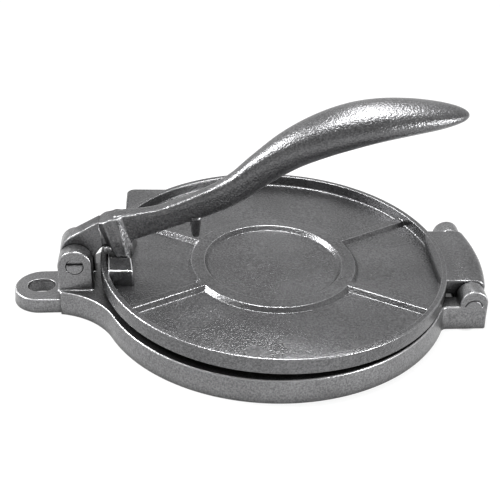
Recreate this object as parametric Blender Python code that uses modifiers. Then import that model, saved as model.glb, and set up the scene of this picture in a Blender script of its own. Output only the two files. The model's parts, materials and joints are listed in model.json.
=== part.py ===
"""A hand lever tortilla press in cast metal, built for Blender 4.5.

The frame: +X points from the plates' centre to the hinge, +Y to the far side,
+Z up, with the floor at zero.  All lengths are in metres and all angles in
degrees.  The press stands as photographed: the lever is down, its foot rests
in the seat on the top plate, and the top plate is open by a small wedge.
"""

import math

import bmesh
import bpy
from mathutils import Vector

# Top plate, which the other castings are laid out from
PLATE_RADIUS = 0.105
PLATE_THICKNESS = 0.010
DISH_DEPTH = 0.0072
RIM_WIDTH = 0.0036
DISH_FILLET = 0.0015
HINGE_SIDE_GAP = 0.0003
REST_TILT = 1.6

# Raised ring and spokes in the dish
RING_INNER = 0.042
RING_OUTER = 0.050
SPOKE_TOP_WIDTH = 0.005
SPOKE_ANGLE = 30.0
WEB_HEIGHT = 0.0026
WEB_DRAFT = 0.0024
WEB_EDGE = 0.0004
RIM_BITE = 0.001

# Lever seat on the top plate: two cheeks with a channel between them
SEAT_INSET = 0.0045
SEAT_LENGTH = 0.0145
SEAT_RISE = 0.003
SEAT_SPLAY = 0.0014
SEAT_HALF_WIDTH = 0.0242
SEAT_DRAFT = 0.0012
CHANNEL_HALF_WIDTH = 0.0095
CHANNEL_SINK = 0.0005
SEAT_GAP = 0.0003

# Lift tab at the far edge of the top plate, as insets from the plate's reach
TAB_INSET_X = 0.013
TAB_INSET_Y = 0.0237
TAB_ROOT_INSET = 0.045
TAB_THICKNESS = 0.007
TAB_CORNER = 0.0055

# Hinge lug of the top plate
HINGE_LUG_HALF_WIDTH = 0.0288
HINGE_LUG_REACH = 0.0095
HINGE_LUG_BITE = 0.006
HINGE_LUG_CORNER = 0.0035
HINGE_LUG_LIFT = 0.0005

# Base casting
BASE_MARGIN = 0.0005
BASE_THICKNESS = 0.015
BASE_DRAFT = 0.0012
FOOT_RING_WIDTH = 0.009
UNDERSIDE_RELIEF = 0.003
UNDERSIDE_RIB_WIDTH = 0.010
CAST_EDGE = 0.001
FOOT_EDGE = 0.0003

# Hinge ears, on the far edge of the base from the lever
HINGE_AXIS_OUT = 0.0101
HINGE_AXIS_Z = 0.014
HINGE_EAR_HALF_WIDTH = 0.0082
HINGE_EAR_RISE = 0.0113
HINGE_EAR_THICKNESS = 0.0115
HINGE_EAR_CLEARANCE = 0.0007
HINGE_BLOCK_FILLET = 0.004
BLOCK_CORNER = 0.0015

# Lever ears on the neck
LEVER_AXIS_OUT = 0.0138
LEVER_AXIS_Z = 0.0313
LEVER_EAR_HALF_WIDTH = 0.0102
LEVER_EAR_RISE = 0.0104
LEVER_EAR_THICKNESS = 0.0096
LEVER_EAR_CLEARANCE = 0.0004
EAR_ROOT = 0.006

# Neck and hanging lug at the lever's end, reaching out from the lever's axis
NECK_HALF_WIDTH = 0.0175
NECK_FILLET = 0.030
NECK_OUT = 0.0097
LUG_THICKNESS = 0.009
LUG_HALF_WIDTH = 0.0163
LUG_OUT = 0.0391
LUG_BITE = 0.014
LUG_SLOT_WIDTH = 0.0135
LUG_SLOT_LENGTH = 0.017

# Pins and their bores
PIN_RADIUS = 0.005
PIN_EDGE = 0.0006
PIN_PROUD = 0.0002
RUNNING_CLEARANCE = 0.0001
BORE_MOUTH = 0.0006

# Lever: boss and web, as places from the lever's axis
BOSS_RADIUS = 0.010
WEB_HALF_WIDTH = 0.005
WEB_EDGE_ROUND = 0.0008
BOSS_CORNER = 0.0045
WEB_TOP_LEFT = 0.0110
WEB_TOP_RIGHT = (0.0213, 0.0283)
WEB_RIGHT = (0.028, 0.0283)
WEB_UNDER = ((0.0148, 0.0061), (0.0184, 0.0084), (0.028, 0.0090))

# Lever: the foot that presses in the seat, as places from the lever's axis
FOOT_HALF_WIDTH = 0.008
FOOT_TOP = ((0.0276, 0.0283), (0.0168, 0.0246))
FOOT_BACK = ((0.0218, 0.0085), (0.0222, 0.0045))
FOOT_SOLE = (0.0270, 0.0318)
FOOT_FRONT = (0.0326, 0.0040)
FOOT_EDGE_ROUND = 0.0013
STUB_PLACE = (0.0197, 0.0063)
STUB_RADIUS = 0.0026
STUB_HALF_LENGTH = 0.0076

# Lever: stop peg under the arm, as places from the lever's axis
PEG_X = 0.0723
PEG_END = 0.0112
PEG_ROOT = 0.0247
PEG_ROOT_RADIUS = 0.0035
PEG_END_RADIUS = 0.0024

# Lever: sections of the arm and grip, each with its centre along x and z from
# the lever's axis, its half depth, its half width and its outline's squareness
LEVER_SECTIONS = (
    (0.0233, 0.0185, 0.0090, 0.0046, 6.0),
    (0.0323, 0.0196, 0.0091, 0.0046, 6.0),
    (0.0513, 0.0242, 0.0074, 0.0046, 5.0),
    (0.0653, 0.0291, 0.0074, 0.0047, 4.4),
    (0.0753, 0.0330, 0.0079, 0.0049, 3.8),
    (0.0873, 0.0383, 0.0084, 0.0056, 3.3),
    (0.0993, 0.0459, 0.0088, 0.0068, 2.9),
    (0.1103, 0.0553, 0.0094, 0.0085, 2.6),
    (0.1273, 0.0677, 0.0108, 0.0120, 2.3),
    (0.1443, 0.0763, 0.0119, 0.0152, 2.1),
    (0.1613, 0.0823, 0.0123, 0.0168, 2.0),
    (0.1773, 0.0858, 0.0113, 0.0170, 2.0),
    (0.1943, 0.0876, 0.0095, 0.0155, 2.0),
    (0.2093, 0.0882, 0.0074, 0.0125, 2.0),
    (0.2193, 0.0884, 0.0053, 0.0090, 2.0),
    (0.2253, 0.0884, 0.0033, 0.0056, 2.0),
    (0.2280, 0.0884, 0.0015, 0.0026, 2.0),
)
LEVER_TIP = (0.2287, 0.0884)

# Facet counts and overruns
PLATE_STEPS = 96
PIN_STEPS = 40
ARC_STEPS = 12
SECTION_POINTS = 28
SPANS_PER_SECTION = 3
OVERRUN = 0.004
MERGE = 0.00001
EDGE_SHARE = 0.29

# Sizes worked out from the ones above
BASE_RADIUS = PLATE_RADIUS + BASE_MARGIN
HINGE_AXIS_X = BASE_RADIUS + HINGE_AXIS_OUT
LEVER_AXIS_X = -BASE_RADIUS - LEVER_AXIS_OUT
HINGE_BLOCK_END = HINGE_AXIS_X + HINGE_EAR_HALF_WIDTH
HINGE_EAR_INNER = HINGE_LUG_HALF_WIDTH + HINGE_EAR_CLEARANCE
HINGE_EAR_OUTER = HINGE_EAR_INNER + HINGE_EAR_THICKNESS
LEVER_EAR_INNER = WEB_HALF_WIDTH + LEVER_EAR_CLEARANCE
LEVER_EAR_OUTER = LEVER_EAR_INNER + LEVER_EAR_THICKNESS
NECK_END = NECK_OUT - LEVER_AXIS_X
LUG_REACH = LUG_OUT - LEVER_AXIS_X
LUG_ROOT = NECK_END - LUG_BITE
LID_BOTTOM = BASE_THICKNESS + HINGE_SIDE_GAP
LID_TOP = LID_BOTTOM + PLATE_THICKNESS
DISH_FLOOR = LID_TOP - DISH_DEPTH
RIM_INNER = PLATE_RADIUS - RIM_WIDTH
BORE_RADIUS = PIN_RADIUS + RUNNING_CLEARANCE
CHANNEL_FLOOR = LID_TOP - CHANNEL_SINK
SEAT_OUTER = SEAT_INSET - PLATE_RADIUS
SEAT_INNER = SEAT_OUTER + SEAT_LENGTH
TAB_X = TAB_INSET_X - PLATE_RADIUS
TAB_Y = PLATE_RADIUS - TAB_INSET_Y
TAB_ROOT = PLATE_RADIUS - TAB_ROOT_INSET
HINGE_LUG_ROOT = PLATE_RADIUS - HINGE_LUG_BITE


def clear_scene():
    """Remove every object, so that the script starts from an empty scene."""
    for thing in list(bpy.data.objects):
        bpy.data.objects.remove(thing)


def make_collection(name):
    """Add a collection to the scene."""
    collection = bpy.data.collections.new(name)
    bpy.context.scene.collection.children.link(collection)
    return collection


def make_material(name, colour, metallic, roughness):
    """Return a Principled material with one colour, metallic value and roughness."""
    material = bpy.data.materials.new(name)
    material.use_nodes = True
    shader = material.node_tree.nodes["Principled BSDF"]
    shader.inputs["Base Color"].default_value = (*colour, 1.0)
    shader.inputs["Metallic"].default_value = metallic
    shader.inputs["Roughness"].default_value = roughness
    return material


def arc(centre, radius, start, end, steps=ARC_STEPS):
    """Return the points of an arc, its angles in degrees."""
    points = []
    for step in range(steps + 1):
        angle = math.radians(start + (end - start) * step / steps)
        x = centre[0] + radius * math.cos(angle)
        y = centre[1] + radius * math.sin(angle)
        points.append((x, y))
    return points


def rounded(corners, steps=4):
    """Round each corner, given as x, y and radius, with an arc that meets both its sides."""
    points = []
    count = len(corners)
    for index, (x, y, radius) in enumerate(corners):
        here = Vector((x, y))
        if radius == 0:
            points.append((x, y))
            continue
        back = (Vector(corners[index - 1][:2]) - here).normalized()
        ahead = (Vector(corners[(index + 1) % count][:2]) - here).normalized()
        half = back.angle(ahead) / 2
        centre = here + (back + ahead).normalized() * (radius / math.sin(half))
        first = here + back * (radius / math.tan(half)) - centre
        last = here + ahead * (radius / math.tan(half)) - centre
        for step in range(steps + 1):
            points.append(tuple(centre + first.slerp(last, step / steps) * radius))
    return points


def inset(outline, distance):
    """Move a closed outline, given anticlockwise, inwards by a distance."""
    moved = []
    count = len(outline)
    for index in range(count):
        here = Vector(outline[index])
        before = (here - Vector(outline[index - 1])).normalized()
        after = (Vector(outline[(index + 1) % count]) - here).normalized()
        normal = Vector((-before.y - after.y, before.x + after.x)).normalized()
        stretch = max(normal.dot(Vector((-before.y, before.x))), EDGE_SHARE)
        moved.append(tuple(here + normal * (distance / stretch)))
    return moved


def loft(name, rings, collection, pole=None):
    """Skin a closed solid through rings of points, with a flat or a pointed last end."""
    mesh = bpy.data.meshes.new(name)
    builder = bmesh.new()
    loops = [[builder.verts.new(point) for point in ring] for ring in rings]
    count = len(rings[0])
    for low, high in zip(loops, loops[1:]):
        for index in range(count):
            follower = (index + 1) % count
            builder.faces.new((low[index], low[follower], high[follower], high[index]))
    builder.faces.new(reversed(loops[0]))
    if pole is None:
        builder.faces.new(loops[-1])
    else:
        tip = builder.verts.new(pole)
        for index in range(count):
            builder.faces.new((loops[-1][index], loops[-1][(index + 1) % count], tip))
    bmesh.ops.recalc_face_normals(builder, faces=builder.faces)
    builder.to_mesh(mesh)
    builder.free()
    thing = bpy.data.objects.new(name, mesh)
    collection.objects.link(thing)
    return thing


def edge_levels(low, high, edge):
    """Return the levels and insets that round both end edges of a prism."""
    near = edge * EDGE_SHARE
    return (
        (low, edge),
        (low + near, near),
        (low + edge, 0),
        (high - edge, 0),
        (high - near, near),
        (high, edge),
    )


def rounded_prism(name, outline, low, high, edge, collection, across=False):
    """Raise an outline between two heights, or across from side to side, with rounded ends."""
    rings = []
    for level, inward in edge_levels(low, high, edge):
        ring = inset(outline, inward)
        if across:
            rings.append([(x, level, z) for x, z in ring])
        else:
            rings.append([(x, y, level) for x, y in ring])
    return loft(name, rings, collection)


def turned(name, profile, steps, collection, across=False):
    """Turn a profile of radius and height round its axis with a Screw modifier."""
    mesh = bpy.data.meshes.new(name)
    points = [(radius, 0, height) for radius, height in reversed(profile)]
    edges = [(index, index + 1) for index in range(len(points) - 1)]
    mesh.from_pydata(points, edges, [])
    thing = bpy.data.objects.new(name, mesh)
    collection.objects.link(thing)
    screw = thing.modifiers.new("Turn", "SCREW")
    screw.axis = "Z"
    screw.angle = math.tau
    screw.steps = steps
    screw.render_steps = steps
    screw.use_merge_vertices = True
    screw.merge_threshold = MERGE
    screw.use_smooth_shade = True
    if across:
        thing.rotation_euler.x = math.radians(90)
    return thing


def combine(target, operand, operation):
    """Join or cut a piece with another shape, which is kept as a hidden operand."""
    step = target.modifiers.new(operation.title() + " " + operand.name, "BOOLEAN")
    step.operation = operation
    step.solver = "EXACT"
    step.object = operand
    operand.hide_render = True
    operand.display_type = "WIRE"


def axis_empty(name, x, z, collection):
    """Put an empty on a joint's axis."""
    empty = bpy.data.objects.new(name, None)
    empty.location = (x, 0, z)
    empty.empty_display_size = PIN_RADIUS
    collection.objects.link(empty)
    return empty


def hang_on(empty, things):
    """Parent things, made in the frame, to an empty, and keep their place in the frame."""
    for thing in things:
        thing.parent = empty
        thing.location = Vector(thing.location) - Vector(empty.location)


def mirrored(half):
    """Close an outline with the mirror image of its near half."""
    return half + [(x, -y) for x, y in reversed(half) if y != 0]


def fillet_reach(rim, radius, side):
    """Return how far out a fillet between the base's rim and a straight side starts."""
    return math.sqrt((rim + radius) ** 2 - (side + radius) ** 2)


def base_outline(draft):
    """Return the base's outline from above, its outer sides moved out by the draft."""
    rim = BASE_RADIUS + draft
    neck = NECK_HALF_WIDTH + draft
    outer = HINGE_EAR_OUTER + draft
    neck_x = fillet_reach(rim, NECK_FILLET, neck)
    neck_turn = math.degrees(math.atan2(neck + NECK_FILLET, neck_x))
    block_x = fillet_reach(rim, HINGE_BLOCK_FILLET, outer)
    block_turn = math.degrees(math.atan2(outer + HINGE_BLOCK_FILLET, block_x))
    pocket_turn = math.degrees(math.asin(HINGE_EAR_INNER / BASE_RADIUS))
    half = [(-NECK_END, -neck)]
    half += arc((-neck_x, -neck - NECK_FILLET), NECK_FILLET, 90, neck_turn)
    rim_steps = PLATE_STEPS // 2 - ARC_STEPS
    half += arc((0, 0), rim, 180 + neck_turn, 360 - block_turn, rim_steps)[1:]
    block_centre = (block_x, -outer - HINGE_BLOCK_FILLET)
    half += arc(block_centre, HINGE_BLOCK_FILLET, 180 - block_turn, 90, ARC_STEPS // 3)[1:]
    inner = -HINGE_EAR_INNER - BLOCK_CORNER
    end = HINGE_BLOCK_END - BLOCK_CORNER
    half += arc((end, BLOCK_CORNER - outer), BLOCK_CORNER, -90, 0, 3)
    half += arc((end, inner), BLOCK_CORNER, 0, 90, 3)
    half += arc((0, 0), BASE_RADIUS, -pocket_turn, 0, ARC_STEPS // 2)
    return mirrored(half)


def lug_outline(draft):
    """Return the hanging lug from above, a bar with a round end, moved out by the draft."""
    radius = LUG_HALF_WIDTH + draft
    end = arc((-LUG_REACH + LUG_HALF_WIDTH, 0), radius, 90, 270, ARC_STEPS * 2)
    return end + [(-LUG_ROOT, -radius), (-LUG_ROOT, radius)]


def drafted_prism(name, outline, height, collection):
    """Raise an outline that narrows with its draft from the floor to a rounded top edge."""
    draft = BASE_DRAFT * height / BASE_THICKNESS
    near = CAST_EDGE * EDGE_SHARE
    top = outline(0)
    levels = [
        (0, outline(draft - FOOT_EDGE)),
        (FOOT_EDGE, outline(draft)),
        (height - CAST_EDGE, top),
        (height - near, inset(top, near)),
        (height, inset(top, CAST_EDGE)),
    ]
    rings = [[(x, y, level) for x, y in ring] for level, ring in levels]
    return loft(name, rings, collection)


def slot_outline(x, half_width, half_length, steps=ARC_STEPS):
    """Return a slot with round ends, long along X."""
    straight = half_length - half_width
    right = arc((x + straight, 0), half_width, -90, 90, steps)
    left = arc((x - straight, 0), half_width, 90, 270, steps)
    return right + left


def ear_outline(x, top, half_width):
    """Return an ear from the side: a post with a round head."""
    head = arc((x, top - half_width), half_width, 0, 180, ARC_STEPS * 2)
    return head + [(x - half_width, EAR_ROOT), (x + half_width, EAR_ROOT)]


def bore_cutter(name, x, z, half_length, collection):
    """Return a cutter for a pin's bore through two ears, with a chamfer at each mouth."""
    mouth = BORE_RADIUS + BORE_MOUTH
    profile = (
        (0, -half_length - OVERRUN),
        (mouth + OVERRUN, -half_length - OVERRUN),
        (BORE_RADIUS, -half_length + BORE_MOUTH),
        (BORE_RADIUS, half_length - BORE_MOUTH),
        (mouth + OVERRUN, half_length + OVERRUN),
        (0, half_length + OVERRUN),
    )
    cutter = turned(name, profile, PIN_STEPS, collection, across=True)
    cutter.location = (x, 0, z)
    return cutter


def build_base(parts, cutters):
    """Build the base casting."""
    base = drafted_prism("base", base_outline, BASE_THICKNESS, parts)
    lug = drafted_prism("lug", lug_outline, LUG_THICKNESS, cutters)
    combine(base, lug, "UNION")
    for side, word in ((-1, "near"), (1, "far")):
        for place, inner, outer, x, top, width in (
            ("lever", LEVER_EAR_INNER, LEVER_EAR_OUTER, LEVER_AXIS_X,
             LEVER_AXIS_Z + LEVER_EAR_RISE, LEVER_EAR_HALF_WIDTH),
            ("hinge", HINGE_EAR_INNER, HINGE_EAR_OUTER, HINGE_AXIS_X,
             HINGE_AXIS_Z + HINGE_EAR_RISE, HINGE_EAR_HALF_WIDTH),
        ):
            low, high = sorted((side * inner, side * outer))
            outline = ear_outline(x, top, width)
            name = place + "_ear_" + word
            ear = rounded_prism(name, outline, low, high, CAST_EDGE, cutters, across=True)
            combine(base, ear, "UNION")
    slot_x = -LUG_REACH + LUG_HALF_WIDTH
    slot = slot_outline(slot_x, LUG_SLOT_WIDTH / 2, LUG_SLOT_LENGTH / 2)
    rings = [[(x, y, level) for x, y in slot] for level in (-OVERRUN, LUG_THICKNESS + OVERRUN)]
    combine(base, loft("lug_slot", rings, cutters), "DIFFERENCE")
    relief_radius = BASE_RADIUS - FOOT_RING_WIDTH
    relief_profile = (
        (0, -OVERRUN),
        (relief_radius, -OVERRUN),
        (relief_radius, UNDERSIDE_RELIEF - CAST_EDGE),
        (relief_radius - CAST_EDGE, UNDERSIDE_RELIEF),
        (0, UNDERSIDE_RELIEF),
    )
    relief = turned("relief", relief_profile, PLATE_STEPS, cutters)
    half_rib = UNDERSIDE_RIB_WIDTH / 2
    for name, long_x, long_y in (("rib_along", BASE_RADIUS, half_rib),
                                 ("rib_across", half_rib, BASE_RADIUS)):
        corners = ((-long_x, -long_y), (long_x, -long_y), (long_x, long_y), (-long_x, long_y))
        rings = [[(x, y, level) for x, y in corners] for level in (-OVERRUN * 2, OVERRUN)]
        combine(relief, loft(name, rings, cutters), "DIFFERENCE")
    combine(base, relief, "DIFFERENCE")
    for name, x, z, outer in (
        ("lever_bore", LEVER_AXIS_X, LEVER_AXIS_Z, LEVER_EAR_OUTER),
        ("hinge_bore", HINGE_AXIS_X, HINGE_AXIS_Z, HINGE_EAR_OUTER),
    ):
        combine(base, bore_cutter(name, x, z, outer, cutters), "DIFFERENCE")
    return base


def web_ring(grow, level):
    """Return the outline of the ring and its four spokes, grown by a distance, at a level."""
    half_width = SPOKE_TOP_WIDTH / 2 + grow
    radius = RING_OUTER + grow
    reach = RIM_INNER + RIM_BITE
    turns = [SPOKE_ANGLE, 180 - SPOKE_ANGLE, 180 + SPOKE_ANGLE, 360 - SPOKE_ANGLE]
    near = math.degrees(math.asin(half_width / radius))
    far = math.degrees(math.asin(half_width / reach))
    points = []
    for index, turn in enumerate(turns):
        points += arc((0, 0), reach, turn - far, turn + far, 2)
        follower = turns[(index + 1) % 4] + (360 if index == 3 else 0)
        points += arc((0, 0), radius, turn + near, follower - near, ARC_STEPS + ARC_STEPS // 2)
    return [(x, y, level) for x, y in points]


def web_levels():
    """Return the growth and level of each ring of the raised web, from its top down."""
    top = DISH_FLOOR + WEB_HEIGHT
    return (
        (-WEB_EDGE, top),
        (WEB_EDGE, top - WEB_EDGE),
        (WEB_DRAFT, DISH_FLOOR + WEB_EDGE),
        (WEB_DRAFT + WEB_EDGE, DISH_FLOOR),
        (WEB_DRAFT + WEB_EDGE, DISH_FLOOR - WEB_EDGE),
    )


def build_web(cutters):
    """Build the raised ring with four spokes, and the cutter of its round centre."""
    web = loft("web", [web_ring(*level) for level in web_levels()], cutters)
    top = DISH_FLOOR + WEB_HEIGHT
    edge = RING_INNER + WEB_EDGE
    profile = (
        (0, DISH_FLOOR),
        (RING_INNER - WEB_DRAFT - WEB_EDGE, DISH_FLOOR),
        (RING_INNER - WEB_DRAFT, DISH_FLOOR + WEB_EDGE),
        (RING_INNER - WEB_EDGE, top - WEB_EDGE),
        (edge, top),
        (edge, top + OVERRUN),
        (0, top + OVERRUN),
    )
    centre = turned("web_centre", profile, PLATE_STEPS, cutters)
    return web, centre


def seat_ring(grow, level):
    """Return the seat's outline from above, grown by a distance, at a level."""
    outer = SEAT_OUTER
    inner = SEAT_INNER
    corners = [
        (outer + SEAT_SPLAY, -SEAT_HALF_WIDTH),
        (inner + SEAT_SPLAY, -SEAT_HALF_WIDTH),
        (inner - SEAT_SPLAY, 0),
        (inner + SEAT_SPLAY, SEAT_HALF_WIDTH),
        (outer + SEAT_SPLAY, SEAT_HALF_WIDTH),
        (outer, 0),
    ]
    return [(x, y, level) for x, y in inset(corners, -grow)]


def build_seat(cutters):
    """Build the block that takes the lever's foot, and the cutter of its channel."""
    top = LID_TOP + SEAT_RISE
    edge = CAST_EDGE / 2
    seat = loft("seat", [
        seat_ring(SEAT_DRAFT, DISH_FLOOR - WEB_EDGE),
        seat_ring(SEAT_DRAFT, DISH_FLOOR),
        seat_ring(0, top - edge),
        seat_ring(-edge, top),
    ], cutters)
    channel = [
        (-PLATE_RADIUS - OVERRUN, -CHANNEL_HALF_WIDTH),
        (SEAT_INNER + OVERRUN, -CHANNEL_HALF_WIDTH),
        (SEAT_INNER + OVERRUN, CHANNEL_HALF_WIDTH),
        (-PLATE_RADIUS - OVERRUN, CHANNEL_HALF_WIDTH),
    ]
    rings = [[(x, y, level) for x, y in channel] for level in (CHANNEL_FLOOR, top + OVERRUN)]
    return seat, loft("channel", rings, cutters)


def build_top_plate(parts, cutters):
    """Build the top plate casting, hinged at the base's ears and tilted as at rest."""
    edge = CAST_EDGE
    near = edge * EDGE_SHARE
    profile = (
        (0, LID_BOTTOM),
        (PLATE_RADIUS - edge, LID_BOTTOM),
        (PLATE_RADIUS - near, LID_BOTTOM + near),
        (PLATE_RADIUS, LID_BOTTOM + edge),
        (PLATE_RADIUS, LID_TOP - edge),
        (PLATE_RADIUS - near, LID_TOP - near),
        (PLATE_RADIUS - edge, LID_TOP),
        (0, LID_TOP),
    )
    plate = turned("top_plate", profile, PLATE_STEPS, parts)
    barrel_right = HINGE_AXIS_X + HINGE_LUG_REACH
    underside = LID_BOTTOM + HINGE_LUG_LIFT
    meet = math.degrees(math.asin((underside - HINGE_AXIS_Z) / HINGE_LUG_REACH))
    corner = HINGE_LUG_CORNER
    outline = [(HINGE_LUG_ROOT, LID_TOP), (HINGE_LUG_ROOT, underside)]
    outline += arc((HINGE_AXIS_X, HINGE_AXIS_Z), HINGE_LUG_REACH, 180 - meet, 360, ARC_STEPS * 2)
    outline += arc((barrel_right - corner, LID_TOP - corner), corner, 0, 90, ARC_STEPS // 2)
    half = HINGE_LUG_HALF_WIDTH
    lug = rounded_prism("hinge_lug", outline, -half, half, edge, cutters, across=True)
    tab_corners = [
        (TAB_X, TAB_Y, TAB_CORNER),
        (TAB_X, TAB_ROOT - TAB_CORNER, 0),
        (-TAB_ROOT, TAB_ROOT - TAB_CORNER, 0),
        (-TAB_ROOT, TAB_Y, 0),
    ]
    tab = rounded_prism("lift_tab", rounded(tab_corners, ARC_STEPS // 2),
                        LID_TOP - TAB_THICKNESS, LID_TOP, edge, cutters)
    dish_profile = (
        (0, DISH_FLOOR),
        (RIM_INNER - DISH_FILLET - near, DISH_FLOOR),
        (RIM_INNER - DISH_FILLET * EDGE_SHARE - near, DISH_FLOOR + DISH_FILLET * EDGE_SHARE),
        (RIM_INNER - near, DISH_FLOOR + DISH_FILLET),
        (RIM_INNER, LID_TOP - edge / 2),
        (RIM_INNER + edge / 2, LID_TOP),
        (RIM_INNER + edge / 2, LID_TOP + OVERRUN),
        (0, LID_TOP + OVERRUN),
    )
    dish = turned("dish", dish_profile, PLATE_STEPS, cutters)
    web, centre = build_web(cutters)
    seat, channel = build_seat(cutters)
    bore_profile = (
        (0, -half - OVERRUN),
        (BORE_RADIUS, -half - OVERRUN),
        (BORE_RADIUS, half + OVERRUN),
        (0, half + OVERRUN),
    )
    bore = turned("lug_bore", bore_profile, PIN_STEPS, cutters, across=True)
    bore.location = (HINGE_AXIS_X, 0, HINGE_AXIS_Z)
    combine(web, centre, "DIFFERENCE")
    combine(plate, lug, "UNION")
    combine(plate, tab, "UNION")
    combine(plate, dish, "DIFFERENCE")
    combine(plate, web, "UNION")
    combine(plate, seat, "UNION")
    combine(plate, channel, "DIFFERENCE")
    combine(plate, bore, "DIFFERENCE")
    hinge = axis_empty("hinge_axis", HINGE_AXIS_X, HINGE_AXIS_Z, parts)
    hang_on(hinge, (plate, lug, tab, dish, web, centre, seat, channel, bore))
    hinge.rotation_euler.y = math.radians(REST_TILT)
    return plate


def seat_height(x):
    """Return the height of the tilted channel floor at a place along X."""
    tilt = math.radians(REST_TILT)
    rise = (HINGE_AXIS_X - x) * math.tan(tilt)
    return HINGE_AXIS_Z + (CHANNEL_FLOOR - HINGE_AXIS_Z) / math.cos(tilt) + rise


def smooth(values, share):
    """Return a point of a Catmull-Rom curve between the middle two of four values."""
    before, first, last, after = values
    linear = (last - before) / 2
    square = before - first * 5 / 2 + last * 2 - after / 2
    cube = (first * 3 - last * 3 + after - before) / 2
    return first + (linear + (square + cube * share) * share) * share


def lever_stations():
    """Return the lever's sections with smooth steps between the chosen ones."""
    rows = [LEVER_SECTIONS[0], *LEVER_SECTIONS, LEVER_SECTIONS[-1]]
    stations = []
    for index in range(len(LEVER_SECTIONS) - 1):
        four = rows[index:index + 4]
        for step in range(SPANS_PER_SECTION):
            share = step / SPANS_PER_SECTION
            stations.append([smooth(values, share) for values in zip(*four)])
    stations.append(list(LEVER_SECTIONS[-1]))
    return stations


def section_ring(station, direction):
    """Return a rounded section across the lever, square where its squareness is high."""
    along_x, along_z, half_depth, half_width, squareness = station
    x = LEVER_AXIS_X + along_x
    z = LEVER_AXIS_Z + along_z
    upward = Vector((-direction.y, direction.x))
    power = 2 / squareness
    ring = []
    for index in range(SECTION_POINTS):
        angle = math.tau * (index + 1 / 2) / SECTION_POINTS
        cosine = math.cos(angle)
        sine = math.sin(angle)
        across = math.copysign(abs(cosine) ** power, cosine) * half_width
        along = math.copysign(abs(sine) ** power, sine) * half_depth
        ring.append((x + upward.x * along, across, z + upward.y * along))
    return ring


def build_arm(parts):
    """Loft the lever's arm and grip through its sections, to a rounded tip."""
    stations = lever_stations()
    rings = []
    for index, station in enumerate(stations):
        before = stations[max(index - 1, 0)]
        after = stations[min(index + 1, len(stations) - 1)]
        direction = Vector((after[0] - before[0], after[1] - before[1])).normalized()
        rings.append(section_ring(station, direction))
    tip_x, tip_z = from_axis([LEVER_TIP])[0]
    return loft("lever", rings, parts, pole=(tip_x, 0, tip_z))


def from_axis(points):
    """Move points given from the lever's axis into the frame."""
    return [(LEVER_AXIS_X + x, LEVER_AXIS_Z + z) for x, z in points]


def boss_outline():
    """Return the lever's boss and web from the side."""
    corner = rounded([
        (-BOSS_RADIUS, WEB_TOP_LEFT, BOSS_CORNER),
        (-BOSS_RADIUS, 0, 0),
        (0, 0, 0),
        (*WEB_TOP_RIGHT, 0),
    ])
    points = list(WEB_UNDER)
    points += [WEB_RIGHT, WEB_TOP_RIGHT]
    points += corner[:5]
    points += arc((0, 0), BOSS_RADIUS, 180, 355, ARC_STEPS * 2)
    return from_axis(points)


def foot_outline():
    """Return the lever's foot from the side, its sole just above the seat."""
    low, high = FOOT_SOLE
    sole = seat_height(LEVER_AXIS_X + (low + high) / 2) + SEAT_GAP - LEVER_AXIS_Z
    points = [(low, sole), (high, sole), FOOT_FRONT, *FOOT_TOP, *FOOT_BACK]
    return from_axis(points)


def build_lever(parts, cutters):
    """Build the lever casting."""
    lever = build_arm(parts)
    web = rounded_prism("boss", boss_outline(), -WEB_HALF_WIDTH, WEB_HALF_WIDTH,
                        WEB_EDGE_ROUND, cutters, across=True)
    foot = rounded_prism("foot", foot_outline(), -FOOT_HALF_WIDTH, FOOT_HALF_WIDTH,
                         FOOT_EDGE_ROUND, cutters, across=True)
    stub_profile = (
        (0, -STUB_HALF_LENGTH),
        (STUB_RADIUS, -STUB_HALF_LENGTH),
        (STUB_RADIUS, STUB_HALF_LENGTH),
        (0, STUB_HALF_LENGTH),
    )
    stub = turned("stub", stub_profile, ARC_STEPS * 2, cutters, across=True)
    stub.location = (LEVER_AXIS_X + STUB_PLACE[0], 0, LEVER_AXIS_Z + STUB_PLACE[1])
    peg_profile = (
        (0, PEG_END),
        (PEG_END_RADIUS - CAST_EDGE, PEG_END),
        (PEG_END_RADIUS, PEG_END + CAST_EDGE),
        (PEG_ROOT_RADIUS, PEG_ROOT),
        (0, PEG_ROOT),
    )
    peg = turned("peg", peg_profile, ARC_STEPS * 2, cutters)
    peg.location = (LEVER_AXIS_X + PEG_X, 0, LEVER_AXIS_Z)
    bore_profile = (
        (0, -WEB_HALF_WIDTH - OVERRUN),
        (BORE_RADIUS, -WEB_HALF_WIDTH - OVERRUN),
        (BORE_RADIUS, WEB_HALF_WIDTH + OVERRUN),
        (0, WEB_HALF_WIDTH + OVERRUN),
    )
    bore = turned("boss_bore", bore_profile, PIN_STEPS, cutters, across=True)
    bore.location = (LEVER_AXIS_X, 0, LEVER_AXIS_Z)
    for operand in (web, foot, stub, peg):
        combine(lever, operand, "UNION")
    combine(lever, bore, "DIFFERENCE")
    pivot = axis_empty("lever_axis", LEVER_AXIS_X, LEVER_AXIS_Z, parts)
    hang_on(pivot, (lever, web, foot, stub, peg, bore))
    return lever


def build_pin(name, x, z, outer, parts):
    """Build a round pin whose rounded ends stand just proud of its ears."""
    reach = outer + PIN_PROUD
    edge = arc((PIN_RADIUS - PIN_EDGE, reach - PIN_EDGE), PIN_EDGE, 0, 90, 3)
    profile = [(0, -reach)]
    profile += [(radius, -height) for radius, height in reversed(edge)]
    profile += edge
    profile.append((0, reach))
    pin = turned(name, profile, PIN_STEPS, parts, across=True)
    pin.location = (x, 0, z)
    return pin


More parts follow.
